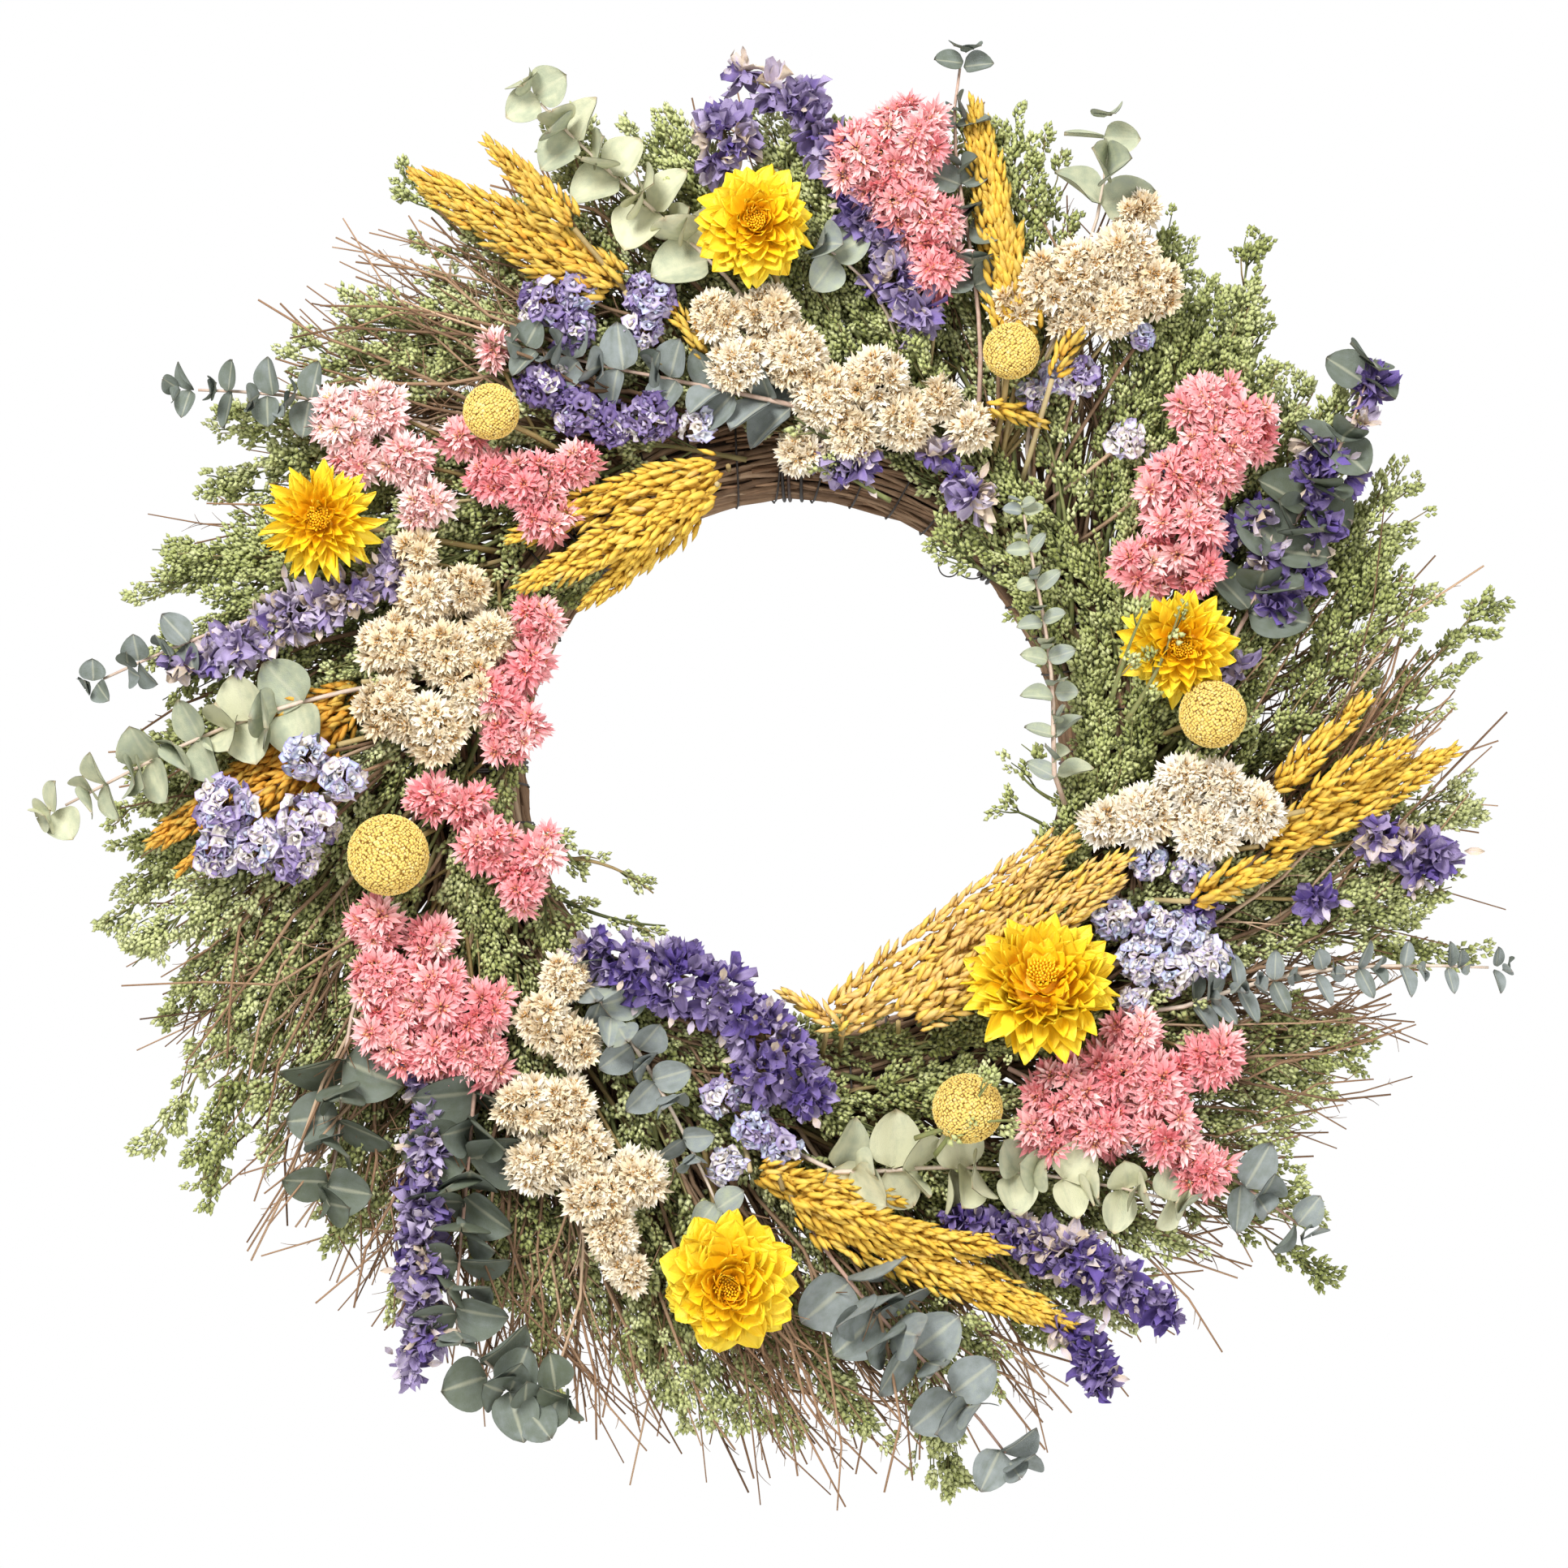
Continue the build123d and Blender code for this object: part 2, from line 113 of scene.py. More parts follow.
def spiral(count):
    """Angles a golden angle apart, and steps from 0 to 1, for points spread evenly."""
    return GOLDEN_ANGLE * np.arange(count), (np.arange(count) + 0.5) / count


# ---- Shapes: triangles with three values at each point, which the materials read ----
class Shape:
    """Points and triangles.  along runs from root to tip, across from edge to edge, tint by item."""

    def __init__(self, points, faces, along=0.0, across=0.0, tint=0.0, finish=0):
        self.points = np.asarray(points, float)
        self.faces = np.asarray(faces, int)
        count = len(self.points)
        self.along = np.broadcast_to(along, count).astype(float)
        self.across = np.broadcast_to(across, count).astype(float)
        self.tint = np.broadcast_to(tint, count).astype(float)
        self.finish = np.broadcast_to(finish, len(self.faces)).astype(int)


def join(shapes):
    """One shape from several."""
    starts = np.cumsum([0] + [len(s.points) for s in shapes[:-1]])
    faces = np.concatenate([s.faces + start for s, start in zip(shapes, starts)])
    keys = ("points", "along", "across", "tint", "finish")
    points, *values = [np.concatenate([getattr(s, key) for s in shapes]) for key in keys]
    return Shape(points, faces, *values)


def stamp(shape, places, turns, sizes, tints=0.0):
    """Copies of a shape at places, turned and sized, each with its own tint added."""
    count, points = len(places), len(shape.points)
    sizes = np.asarray(sizes, float)
    if sizes.ndim < 2:
        sizes = np.broadcast_to(sizes.reshape(-1, 1), (count, 3))
    spots = np.einsum("kij,knj->kni", turns, shape.points[None] * sizes[:, None]) + places[:, None]
    faces = shape.faces[None] + (np.arange(count) * points)[:, None, None]
    tint = shape.tint[None] + np.broadcast_to(tints, count)[:, None]
    return Shape(
        spots.reshape(-1, 3), faces.reshape(-1, 3), np.tile(shape.along, count),
        np.tile(shape.across, count), tint.ravel(), np.tile(shape.finish, count),
    )


def stamp_each(shapes, kind, places, turns, sizes, tints):
    """Copies of several shapes: kind says which one stands at each place."""
    parts = []
    for number, shape in enumerate(shapes):
        mine = kind == number
        if mine.any():
            parts.append(stamp(shape, places[mine], turns[mine], sizes[mine], tints[mine]))
    return parts


def grid_faces(rows, columns, wrap=False):
    """Triangles between neighbouring rows of points."""
    last = columns if wrap else columns - 1
    row, column = np.meshgrid(np.arange(rows - 1), np.arange(last), indexing="ij")
    here = (row * columns + column).ravel()
    beside = (row * columns + (column + 1) % columns).ravel()
    first = np.stack([here, beside, beside + columns], -1)
    second = np.stack([here, beside + columns, here + columns], -1)
    return np.concatenate([first, second])


def cap(sides, first, tip, outward):
    """Triangles from a ring of points, the first of which is numbered first, to a tip."""
    around = np.arange(sides) + first
    beyond = np.roll(around, -1)
    pair = (around, beyond) if outward else (beyond, around)
    return np.stack([*pair, np.full(sides, tip)], -1)


def tubes(paths, radii, sides=5, tints=0.5, finish=0):
    """Round stems along paths (stems, points, 3), closed at both ends."""
    stems, steps = paths.shape[:2]
    radii = np.broadcast_to(radii, (stems, steps))
    ahead = unit(np.gradient(paths, axis=1))
    facing = np.where(np.abs(ahead.mean(1) @ FRONT)[:, None] > 0.8, [[1.0, 0.0, 0.0]], FRONT[None])
    turns = frames(ahead, facing[:, None])
    angle = 2 * np.pi * np.arange(sides) / sides
    ring = turns[..., None, :, 1] * np.cos(angle)[:, None] + turns[..., None, :, 2] * np.sin(angle)[:, None]
    walls = (paths[:, :, None] + radii[..., None, None] * ring).reshape(stems, -1, 3)
    points = np.concatenate([walls, paths[:, :1], paths[:, -1:]], 1)
    count = steps * sides
    caps = [cap(sides, 0, count, False), cap(sides, count - sides, count + 1, True)]
    faces = np.concatenate([grid_faces(steps, sides, wrap=True), *caps])
    faces = faces[None] + (np.arange(stems) * (count + 2))[:, None, None]
    along = np.concatenate([np.repeat(np.linspace(0, 1, steps), sides), [0, 1]])
    across = np.concatenate([np.tile(np.sin(angle), steps), [0, 0]])
    tint = np.repeat(np.broadcast_to(tints, stems), count + 2)
    return Shape(points.reshape(-1, 3), faces.reshape(-1, 3), np.tile(along, stems),
                 np.tile(across, stems), tint, finish)


def sheet(rows, columns, width, height, back=0.0):
    """A petal or leaf of length 1 along x.  width(u) and height(u, v) give its outline and its cup."""
    u, v = np.meshgrid(np.linspace(0, 1, rows), np.linspace(-1, 1, columns), indexing="ij")
    u, v = u.ravel(), v.ravel()
    points = np.stack([u, v * width(u) / 2, height(u, v)], -1)
    front = Shape(points, grid_faces(rows, columns)[:, ::-1], u, v)
    if not back:
        return front
    return join([front, Shape(points - [0, 0, back], grid_faces(rows, columns), u, v)])


def turned_body(sides, stations, radii):
    """A closed body of revolution of length 1 along x."""
    path = np.zeros((1, len(stations), 3))
    path[0, :, 0] = stations
    return tubes(path, np.array(radii)[None], sides, tints=0.0)


def pod(sides, stations, radii):
    """A small faceted body of length 1 along x, pointed at both ends, with a ring at each station."""
    angle = 2 * np.pi * np.arange(sides) / sides
    rings = [[(x, r * math.cos(a), r * math.sin(a)) for a in angle] for x, r in zip(stations, radii)]
    points = np.concatenate([*rings, [(0, 0, 0)], [(1, 0, 0)]])
    last = (len(stations) - 1) * sides
    faces = [cap(sides, 0, len(points) - 2, False), cap(sides, last, len(points) - 1, True)]
    if last:
        faces.append(grid_faces(len(stations), sides, wrap=True))
    return Shape(points, np.concatenate(faces), points[:, 0])


bud_shape = pod(3, [0.45], [0.5])
seed_shape = pod(5, [0.2, 0.6], [0.42, 0.45])
granule_shape = pod(4, [0.5], [0.55])


# ---- Reading the CAD ----
def solids(node):
    """The CAD node's separate solids, each as its points, in the order they were made."""
    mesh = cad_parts[node].data
    points = np.empty(3 * len(mesh.vertices))
    mesh.vertices.foreach_get("co", points)
    ends = np.empty(2 * len(mesh.edges), int)
    mesh.edges.foreach_get("vertices", ends)
    spots, spot_of = np.unique((points.reshape(-1, 3) / MM).round(3), axis=0, return_inverse=True)
    spot_of = spot_of.ravel()
    a, b = spot_of[ends.reshape(-1, 2)].T
    label = np.arange(len(spots))
    changed = True
    while changed:
        before = label.copy()
        low = np.minimum(label[a], label[b])
        np.minimum.at(label, a, low)
        np.minimum.at(label, b, low)
        label = label[label]
        changed = (label != before).any()
    _, first = np.unique(label[spot_of], return_index=True)
    return [spots[label == label[spot_of[i]]] for i in np.sort(first)]


def measure(points):
    """A solid's middle, its main directions, longest first, and half its size along each."""
    middle = (points.min(0) + points.max(0)) / 2
    _, _, axes = np.linalg.svd(points - points.mean(0), full_matrices=False)
    spread = (points - middle) @ axes.T
    low, high = spread.min(0), spread.max(0)
    return middle + ((low + high) / 2) @ axes, axes, (high - low) / 2


def balls(node):
    """The rounded tufts of a cluster, each as its middle and its radius."""
    found = [measure(points) for points in solids(node)]
    return [(middle, half.mean()) for middle, _, half in found if half[1] > 0.8 * half[0]]


def both_ends(middle, axes, half):
    """The two ends of a long solid."""
    return [middle - axes[0] * half[0], middle + axes[0] * half[0]]


stalk_half = 2.0  # no stalk's half width is more


def stalk_ends(node):
    """The two ends of each thin straight stalk of a node, the end nearer the wall first."""
    found = [measure(points) for points in solids(node)]
    return [sorted(both_ends(*item), key=lambda p: -p[1]) for item in found if item[2][1] < stalk_half]


# ---- Materials ----
def tone(red, green, blue):
    """The linear colour of an sRGB one."""
    parts = [c / 255 for c in (red, green, blue)]
    return [p / 12.92 if p < 0.04 else ((p + 0.055) / 1.055) ** 2.4 for p in parts] + [1.0]


def fill(socket, value):
    """Gives a socket a value, or a link from another node's output."""
    if isinstance(value, bpy.types.NodeSocket):
        socket.id_data.links.new(value, socket)
    else:
        socket.default_value = value


def organic(name, by_tint, by_length, mottle=(500.0, 0.25), streaks=(3.0, 0.2), rough=(0.6, 0.9),
            sheen=0.0, bump=0.35, specular=0.3, midrib=None):
    """A dried-plant surface: colour by item and from root to tip, mottled, streaked along its fibres.

    by_tint and by_length are ramps: (place, red, green, blue) at each stop.  mottle and streaks each
    have a scale and a strength.  midrib is the colour of a line down the middle of a leaf."""
    material = bpy.data.materials.new(name)
    material.use_nodes = True
    nodes = material.node_tree.nodes

    def add(kind, output, **inputs):
        node = nodes.new("ShaderNode" + kind)
        for key, value in inputs.items():
            fill(node.inputs[key.replace("_", " ")], value)
        return node.outputs[output]

    def read(attribute):
        node = nodes.new("ShaderNodeAttribute")
        node.attribute_name = attribute
        return node.outputs["Fac"]

    def maths(operation, *inputs):
        node = nodes.new("ShaderNodeMath")
        node.operation = operation
        for socket, value in zip(node.inputs, inputs):
            fill(socket, value)
        return node.outputs[0]

    def ramp(place, stops):
        node = nodes.new("ShaderNodeValToRGB")
        elements = node.color_ramp.elements
        while len(elements) < len(stops):
            elements.new(0.5)
        for element, (position, *colour) in zip(elements, stops):
            element.position = position
            element.color = tone(*colour)
        fill(node.inputs["Fac"], place)
        return node.outputs["Color"]

    def mix(kind, share, first, second):
        node = nodes.new("ShaderNodeMix")
        node.data_type = "RGBA"
        node.blend_type = kind
        for key, value in (("Factor", share), ("A", first), ("B", second)):
            fill(node.inputs[key], value)
        return node.outputs["Result"]

    tint, along, across = read("tint"), read("along"), read("across")
    place = add("TexCoord", "Object")
    patches = add("TexNoise", "Fac", Vector=place, Scale=mottle[0], Detail=3.0)
    fibres_at = add("CombineXYZ", 0, X=maths("MULTIPLY", across, streaks[0]),
                    Y=maths("MULTIPLY", along, 1.2), Z=maths("MULTIPLY", tint, 61.0))
    fibres = add("TexNoise", "Fac", Vector=fibres_at, Scale=1.0, Detail=2.0)
    shifted = maths("MULTIPLY_ADD", patches, mottle[1], -0.5 * mottle[1])
    streaked = maths("MULTIPLY_ADD", fibres, streaks[1], -0.5 * streaks[1])
    by_item = ramp(maths("ADD", maths("ADD", tint, shifted), streaked), by_tint)
    colour = mix("MULTIPLY", 1.0, by_item, ramp(along, by_length))
    if midrib:
        line = add("MapRange", "Result", Value=maths("ABSOLUTE", across), From_Min=0.03, From_Max=0.12,
                   To_Min=0.35, To_Max=0.0)
        colour = mix("MIX", line, colour, tone(*midrib))
    fine = add("TexNoise", "Fac", Vector=place, Scale=2500.0, Detail=2.0)
    surface = {
        "Base Color": colour,
        "Roughness": add("MapRange", "Result", Value=fine, To_Min=rough[0], To_Max=rough[1]),
        "Normal": add("Bump", "Normal", Height=maths("ADD", fine, fibres), Strength=bump, Distance=0.0004),
        "Specular IOR Level": specular,
        "Sheen Weight": sheen,
    }
    for key, value in surface.items():
        fill(nodes["Principled BSDF"].inputs[key], value)
    return material


white = [(0, 255, 255, 255), (1, 255, 255, 255)]
twig_material = organic(
    "twig_bark", [(0, 96, 76, 58), (0.35, 140, 114, 90), (0.7, 168, 142, 116), (1, 200, 178, 152)],
    [(0, 205, 195, 188), (0.5, 255, 250, 245), (1, 255, 238, 226)],
    mottle=(260.0, 0.5), streaks=(4.0, 0.35), rough=(0.6, 0.95), bump=0.7)
# Near-black stems: painted shade for the dark deep inside the bound bundle, which shows through its gaps
painted_shade_material = organic(
    "painted_shade_stems", [(0, 30, 22, 18), (1, 66, 48, 36)], white, mottle=(700.0, 0.9), bump=1.0)
wire_material = organic(
    "binding_wire_steel", [(0, 28, 24, 24), (0.6, 52, 44, 40), (1, 96, 62, 44)], white,
    mottle=(350.0, 0.8), rough=(0.3, 0.6), bump=0.2, specular=0.6)
green_material = organic(
    "green_buds", [(0, 112, 118, 56), (0.3, 160, 168, 98), (0.65, 194, 200, 138), (1, 222, 226, 176)],
    [(0, 214, 212, 196), (0.5, 255, 255, 250), (1, 255, 255, 242)],
    mottle=(120.0, 0.35), rough=(0.65, 0.95), sheen=0.15, bump=0.5)
green_stem_material = organic(
    "green_stems", [(0, 78, 84, 48), (0.6, 122, 128, 78), (1, 150, 128, 88)], white, mottle=(500.0, 0.5))
eucalyptus_material = organic(
    "eucalyptus_leaves",
    [(0, 98, 106, 88), (0.25, 116, 124, 114), (0.5, 144, 151, 150), (0.75, 170, 177, 152),
     (1, 208, 208, 176)],
    [(0, 225, 222, 215), (0.25, 255, 255, 255), (0.9, 250, 250, 250), (1, 225, 205, 195)],
    mottle=(260.0, 0.4), streaks=(3.0, 0.3), rough=(0.6, 0.85), bump=0.45, specular=0.2,
    midrib=(206, 204, 176))
eucalyptus_stem_material = organic(
    "eucalyptus_stems", [(0, 150, 110, 96), (0.5, 196, 164, 146), (1, 222, 206, 188)], white,
    mottle=(500.0, 0.6))
grain_material = organic(
    "grain_husks",
    [(0, 224, 166, 62), (0.25, 208, 178, 86), (0.55, 232, 190, 72), (0.75, 236, 202, 92),
     (1, 224, 188, 120)],
    [(0, 200, 172, 122), (0.25, 248, 240, 222), (0.7, 255, 255, 255), (1, 255, 246, 215)],
    mottle=(300.0, 0.3), streaks=(5.0, 0.35), rough=(0.45, 0.75), bump=0.5)
straw_material = organic(
    "straw_stalks", [(0, 124, 104, 62), (0.5, 164, 142, 92), (1, 190, 172, 128)], white, mottle=(500.0, 0.4),
    streaks=(5.0, 0.4), rough=(0.45, 0.7))
strawflower_material = organic(
    "strawflower_petals", [(0, 255, 184, 26), (0.35, 255, 202, 26), (0.7, 255, 214, 32), (1, 255, 230, 64)],
    [(0, 255, 240, 220), (0.35, 255, 253, 248), (1, 255, 255, 255)],
    mottle=(200.0, 0.2), streaks=(7.0, 0.4), rough=(0.32, 0.55), bump=0.5, specular=0.4)
billy_material = organic(
    "billy_button_florets",
    [(0, 222, 182, 84), (0.4, 238, 206, 108), (0.75, 246, 218, 124), (1, 252, 234, 164)],
    [(0, 240, 220, 180), (0.6, 252, 246, 232), (1, 255, 255, 250)],
    mottle=(420.0, 0.4), rough=(0.7, 0.95), sheen=0.2, bump=0.6)
pink_material = organic(
    "pink_daisy_bracts",
    [(0, 240, 140, 147), (0.35, 248, 174, 177), (0.7, 252, 206, 204), (1, 254, 236, 231)],
    [(0, 232, 216, 160), (0.2, 238, 196, 192), (0.55, 255, 244, 244), (1, 255, 255, 255)],
    mottle=(150.0, 0.2), streaks=(3.0, 0.25), rough=(0.5, 0.8), bump=0.35)
cream_material = organic(
    "cream_daisy_bracts",
    [(0, 226, 204, 166), (0.35, 243, 228, 198), (0.7, 250, 241, 222), (1, 253, 249, 240)],
    [(0, 202, 164, 108), (0.2, 228, 200, 158), (0.5, 253, 249, 242), (1, 255, 255, 255)],
    mottle=(150.0, 0.25), streaks=(3.0, 0.25), rough=(0.5, 0.8), bump=0.35)
statice_material = organic(
    "statice_calyxes",
    [(0, 112, 94, 140), (0.25, 160, 144, 182), (0.45, 202, 192, 212),
     (0.62, 194, 206, 226), (0.8, 230, 230, 238), (1, 242, 234, 222)],
    [(0, 180, 158, 144), (0.25, 250, 248, 246), (0.84, 255, 255, 255), (1, 192, 178, 224)],
    mottle=(220.0, 0.16), streaks=(4.0, 0.14), rough=(0.55, 0.85), bump=0.4)
larkspur_material = organic(
    "larkspur_petals",
    [(0, 108, 88, 160), (0.3, 142, 126, 168), (0.6, 180, 166, 200),
     (0.85, 208, 198, 210), (1, 218, 200, 176)],
    [(0, 205, 198, 200), (0.4, 248, 246, 250), (1, 255, 255, 255)],
    mottle=(200.0, 0.3), streaks=(4.0, 0.3), rough=(0.5, 0.85), bump=0.6)


# ---- Writing pieces ----
def make_piece(name, shape, materials, node):
    """Makes the mesh of a piece that stands for a CAD node."""
    mesh = bpy.data.meshes.new(name)
    faces = len(shape.faces)
    mesh.vertices.add(len(shape.points))
    mesh.vertices.foreach_set("co", (shape.points * MM).astype(np.float32).ravel())
    mesh.loops.add(3 * faces)
    mesh.loops.foreach_set("vertex_index", shape.faces.astype(np.int32).ravel())
    mesh.polygons.add(faces)
    mesh.polygons.foreach_set("loop_start", np.arange(0, 3 * faces, 3, dtype=np.int32))
    mesh.polygons.foreach_set("material_index", shape.finish.astype(np.int32))
    mesh.polygons.foreach_set("use_smooth", np.ones(faces, bool))
    for key in ("along", "across", "tint"):
        values = mesh.attributes.new(key, "FLOAT", "POINT").data
        values.foreach_set("value", getattr(shape, key).astype(np.float32))
    for material in materials:
        mesh.materials.append(material)
    mesh.update(calc_edges=True)
    piece = bpy.data.objects.new(name, mesh)
    bpy.context.scene.collection.objects.link(piece)
    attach(piece, "root")
    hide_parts(node)


def make_pieces(node_stem, piece_stem, count, grow, materials):
    """A piece for each of the nodes node_stem_1 to node_stem_count; grow(node, index) is its shape."""
    for index in range(count):
        node = f"{node_stem}_{index + 1}"
        make_piece(f"{piece_stem}_{index + 1}", grow(node, index), materials, node)


def bent(start, end, bow, steps):
    """Paths (stems, steps, 3) from start to end, bowed sideways by the vectors in bow."""
    t = np.linspace(0, 1, steps)[None, :, None]
    return start[:, None] * (1 - t) + end[:, None] * t + bow[:, None] * 4 * t * (1 - t)


def stalk(start, end, radius, tint):
    """A straight stem between two points."""
    return tubes(bent(start[None], end[None], np.zeros((1, 3)), 4), radius, 6, tint, finish=1)


# ---- Ring of twigs ----
twigs_per_bunch = 70
strands_per_bunch = 84
fan_lean = 27.0  # how far round the ring a twig's tip is from its root
twig_reach, twig_falloff, fan_falloff = 246, 66, 46  # farthest tip, and how far short others stop
# Thicker fans: angle of their tips, spread, twigs, farthest reach, depth of the nearest to the front.
twig_fans = [(10, 6, 70, 250, 56), (340, 6, 44, 248, 56), (271, 7, 80, 266, 60), (230, 8, 84, 262, 60),
             (207, 6, 54, 256, 54), (136, 6, 64, 252, 62), (62, 6, 22, 238, 50), (318, 7, 44, 252, 54),
             (120, 5, 34, 246, 52), (251, 7, 56, 266, 54), (291, 6, 40, 264, 54), (186, 5, 30, 250, 48)]
tangle_bunch = 5


def branches(paths, radii, per_stem, low, reach, rng):
    """Side branches on stems, from the share low of their length to near their tips, reach long."""
    stems, steps = paths.shape[:2]
    which = np.repeat(np.arange(stems), per_stem)
    count = len(which)
    t = rng.uniform(low, 0.94, count) * (steps - 1)
    step = np.minimum(t.astype(int), steps - 2)
    part = (t - step)[:, None]
    start = paths[which, step] * (1 - part) + paths[which, step + 1] * part
    ahead = unit(paths[which, step + 1] - paths[which, step])
    side = np.cross(ahead, FRONT) * rng.choice([-1, 1], count)[:, None]
    out = unit(side + FRONT * rng.normal(0, 0.35, count)[:, None])
    angle = np.radians(rng.uniform(20, 56, count))[:, None]
    length = (rng.uniform(*reach, count) * (1.15 - t / (steps - 1)))[:, None]
    end = start + (ahead * np.cos(angle) + out * np.sin(angle)) * length
    bow = -out * length * rng.uniform(0.02, 0.1, count)[:, None]
    new = bent(start, end, bow, 4)
    thick = radii[which, step] * rng.uniform(0.5, 0.75, count)
    return new, thick[:, None] * np.linspace(1.0, 0.35, 4)[None]


def within_wall(points, least):
    """Points moved to at least this depth in front of the wall."""
    points = points.copy()
    points[..., 1] = np.minimum(points[..., 1], -least)
    return points


def round_core(off, seat, angle):
    """Points off the middle line of the bound bundle, at the angle seat round it."""
    return polar(ring_radius + off * np.cos(seat), angle, core_radius + off * np.sin(seat))


def tangle(rng):
    """Bare twigs that lie over the front of the ring where no flower covers it."""
    count = 46
    start = polar(rng.uniform(96, 128, count), rng.uniform(238, 252, count), rng.uniform(38, 48, count))
    end = polar(rng.uniform(98, 134, count), rng.uniform(256, 276, count), rng.uniform(40, 54, count))
    paths = bent(start, end, rng.normal(0, 3, (count, 3)), 6)
    thick = rng.uniform(0.6, 1.1, (count, 1)) * np.linspace(1, 0.6, 6)[None]
    return tubes(paths, thick, 5, rng.uniform(0.2, 0.9, count))


def twig_bunch(_, index):
    """A bunch: its bound stems, which follow the ring, and the twigs that fan out of it."""
    rng = np.random.default_rng([11, index])
    first = index * bunch_arc
    # bound stems, each following the ring at its own place in the bundle
    steps = 14
    start = first - rng.uniform(2, 16, strands_per_bunch)
    span = rng.uniform(50, 72, strands_per_bunch)
    angle = start[:, None] + span[:, None] * np.linspace(0, 1, steps)[None]
    seat = np.linspace(0, 2 * np.pi, strands_per_bunch, endpoint=False)[:, None]
    seat = seat + rng.normal(0, 0.25, (strands_per_bunch, 1)) * np.linspace(-1, 1, steps)[None]
    off = core_radius - rng.uniform(1.0, 3.2, (strands_per_bunch, 1))
    off = off + rng.normal(0, 0.35, (strands_per_bunch, steps))
    joint = np.abs((angle / bunch_arc) - np.round(angle / bunch_arc)) * bunch_arc
    off = off - 1.6 * np.exp(-((joint / 2.2) ** 2))
    stems = round_core(off, seat, angle)
    thick = rng.uniform(0.7, 1.5, (strands_per_bunch, 1)) * np.linspace(1.0, 0.7, steps)[None]
    tints = np.clip(rng.normal(0.45, 0.2, strands_per_bunch), 0, 1)
    parts = [tubes(within_wall(stems, 1.7), thick, 5, tints)]
    # the imported middle of the bundle, in the near-black second finish: painted shade deep inside the bound
    # stems
    middle = polar(ring_radius, first + bunch_arc * np.linspace(-0.02, 1.02, 12), core_radius)[None]
    parts.append(tubes(middle, core_radius - 4.0, 14, 0.5, finish=1))
    # free twigs, which leave along the ring and fan outwards, and the thicker fans of them
    tip_angle = first + bunch_arc * np.arange(twigs_per_bunch) / twigs_per_bunch
    tip_angle = tip_angle + rng.normal(fan_lean, 9, twigs_per_bunch)
    reach = twig_reach - twig_falloff * rng.beta(1.5, 1.3, twigs_per_bunch)
    depth = rng.uniform(6, 38, twigs_per_bunch)
    for fan_angle, spread, amount, farthest, fan_depth in twig_fans:
        if 0 <= (fan_angle - fan_lean - first) % 360 < bunch_arc:
            tip_angle = np.append(tip_angle, rng.normal(fan_angle, spread, amount))
            reach = np.append(reach, farthest - fan_falloff * rng.beta(1.2, 1.6, amount))
            depth = np.append(depth, rng.uniform(10, fan_depth, amount))
    count = len(reach)
    root_angle = np.clip(tip_angle - rng.normal(fan_lean, 4, count), first, first + bunch_arc)
    root = polar(ring_radius + rng.uniform(-6, 15, count), root_angle, rng.uniform(8, 38, count))
    tip = polar(reach, tip_angle, depth)
    chord = np.linalg.norm(tip - root, axis=-1, keepdims=True)
    side = np.cross(unit(tip - root), FRONT)
    bow = side * chord * rng.normal(0.04, 0.08, count)[:, None]
    bow += FRONT * np.maximum(depth - 30, 0)[:, None] * 0.5
    stems = bent(root, tip, bow, 8)
    hook = side * chord * rng.normal(0.04, 0.10, count)[:, None]
    stems += hook[:, None] * np.linspace(0, 1, 8)[None, :, None] ** 3
    stems[:, 1:-1] += rng.normal(0, 1.9, (count, 6, 3))
    girth = np.where(np.arange(count) < twigs_per_bunch, 0.75, 0.9)[:, None]
    thick = girth * rng.uniform(0.7, 1.2, (count, 1)) * np.linspace(1.25, 0.4, 8)[None]
    tints = np.clip(rng.normal(0.5, 0.22, count), 0, 1)
    parts.append(tubes(within_wall(stems, 2), thick, 5, tints))
    for per_stem, low, reach in ((4, 0.3, (14, 38)), (5, 0.5, (8, 22))):
        new, new_thick = branches(stems, thick, per_stem, low, reach, rng)
        parts.append(tubes(within_wall(new, 2), new_thick, 3, np.repeat(tints, per_stem)))
    if index == tangle_bunch:
        parts.append(tangle(rng))
    return join(parts)


make_pieces("twig_bunch", "twigs", bunches, twig_bunch, [twig_material, painted_shade_material])


# ---- Binding wire ----
def wire_turns():
    """Three turns in each waist, one long spiral between them, and a loose curl in the hole."""
    rng = np.random.default_rng(21)
    parts = []
    steps = 30
    seat = np.linspace(0, 2 * np.pi, steps)
    for joint in range(bunches):
        for turn in (-1, 0, 1):
            lean = rng.normal(0, 0.5) + 0.9 * turn
            angle = joint * bunch_arc + lean + 0.35 * np.sin(seat)
            loop = round_core(core_radius - 0.2, seat, angle)
            parts.append(tubes(within_wall(loop[None], 0.7), 0.65, 6, rng.uniform(0, 1)))
    turns = 44
    seat = np.linspace(0, 2 * np.pi * turns, turns * 20)
    angle = 360 * seat / seat[-1]
    winding = round_core(core_radius + 0.3, seat, angle)
    parts.append(tubes(within_wall(winding[None], 0.5), 0.42, 5, 0.4))
    t = np.linspace(0, 1, 60)
    curl = polar(100 - 7 * np.sin(3 * t) ** 2 - 2 * np.sin(17 * t), 58 - 12 * t + 1.2 * np.cos(17 * t),
                 26 + 5 * np.cos(9 * t))
    parts.append(tubes(curl[None], 0.28, 5, 0.2))
    return join(parts)


make_piece("wire_turns", wire_turns(), [wire_material], "binding_wire")


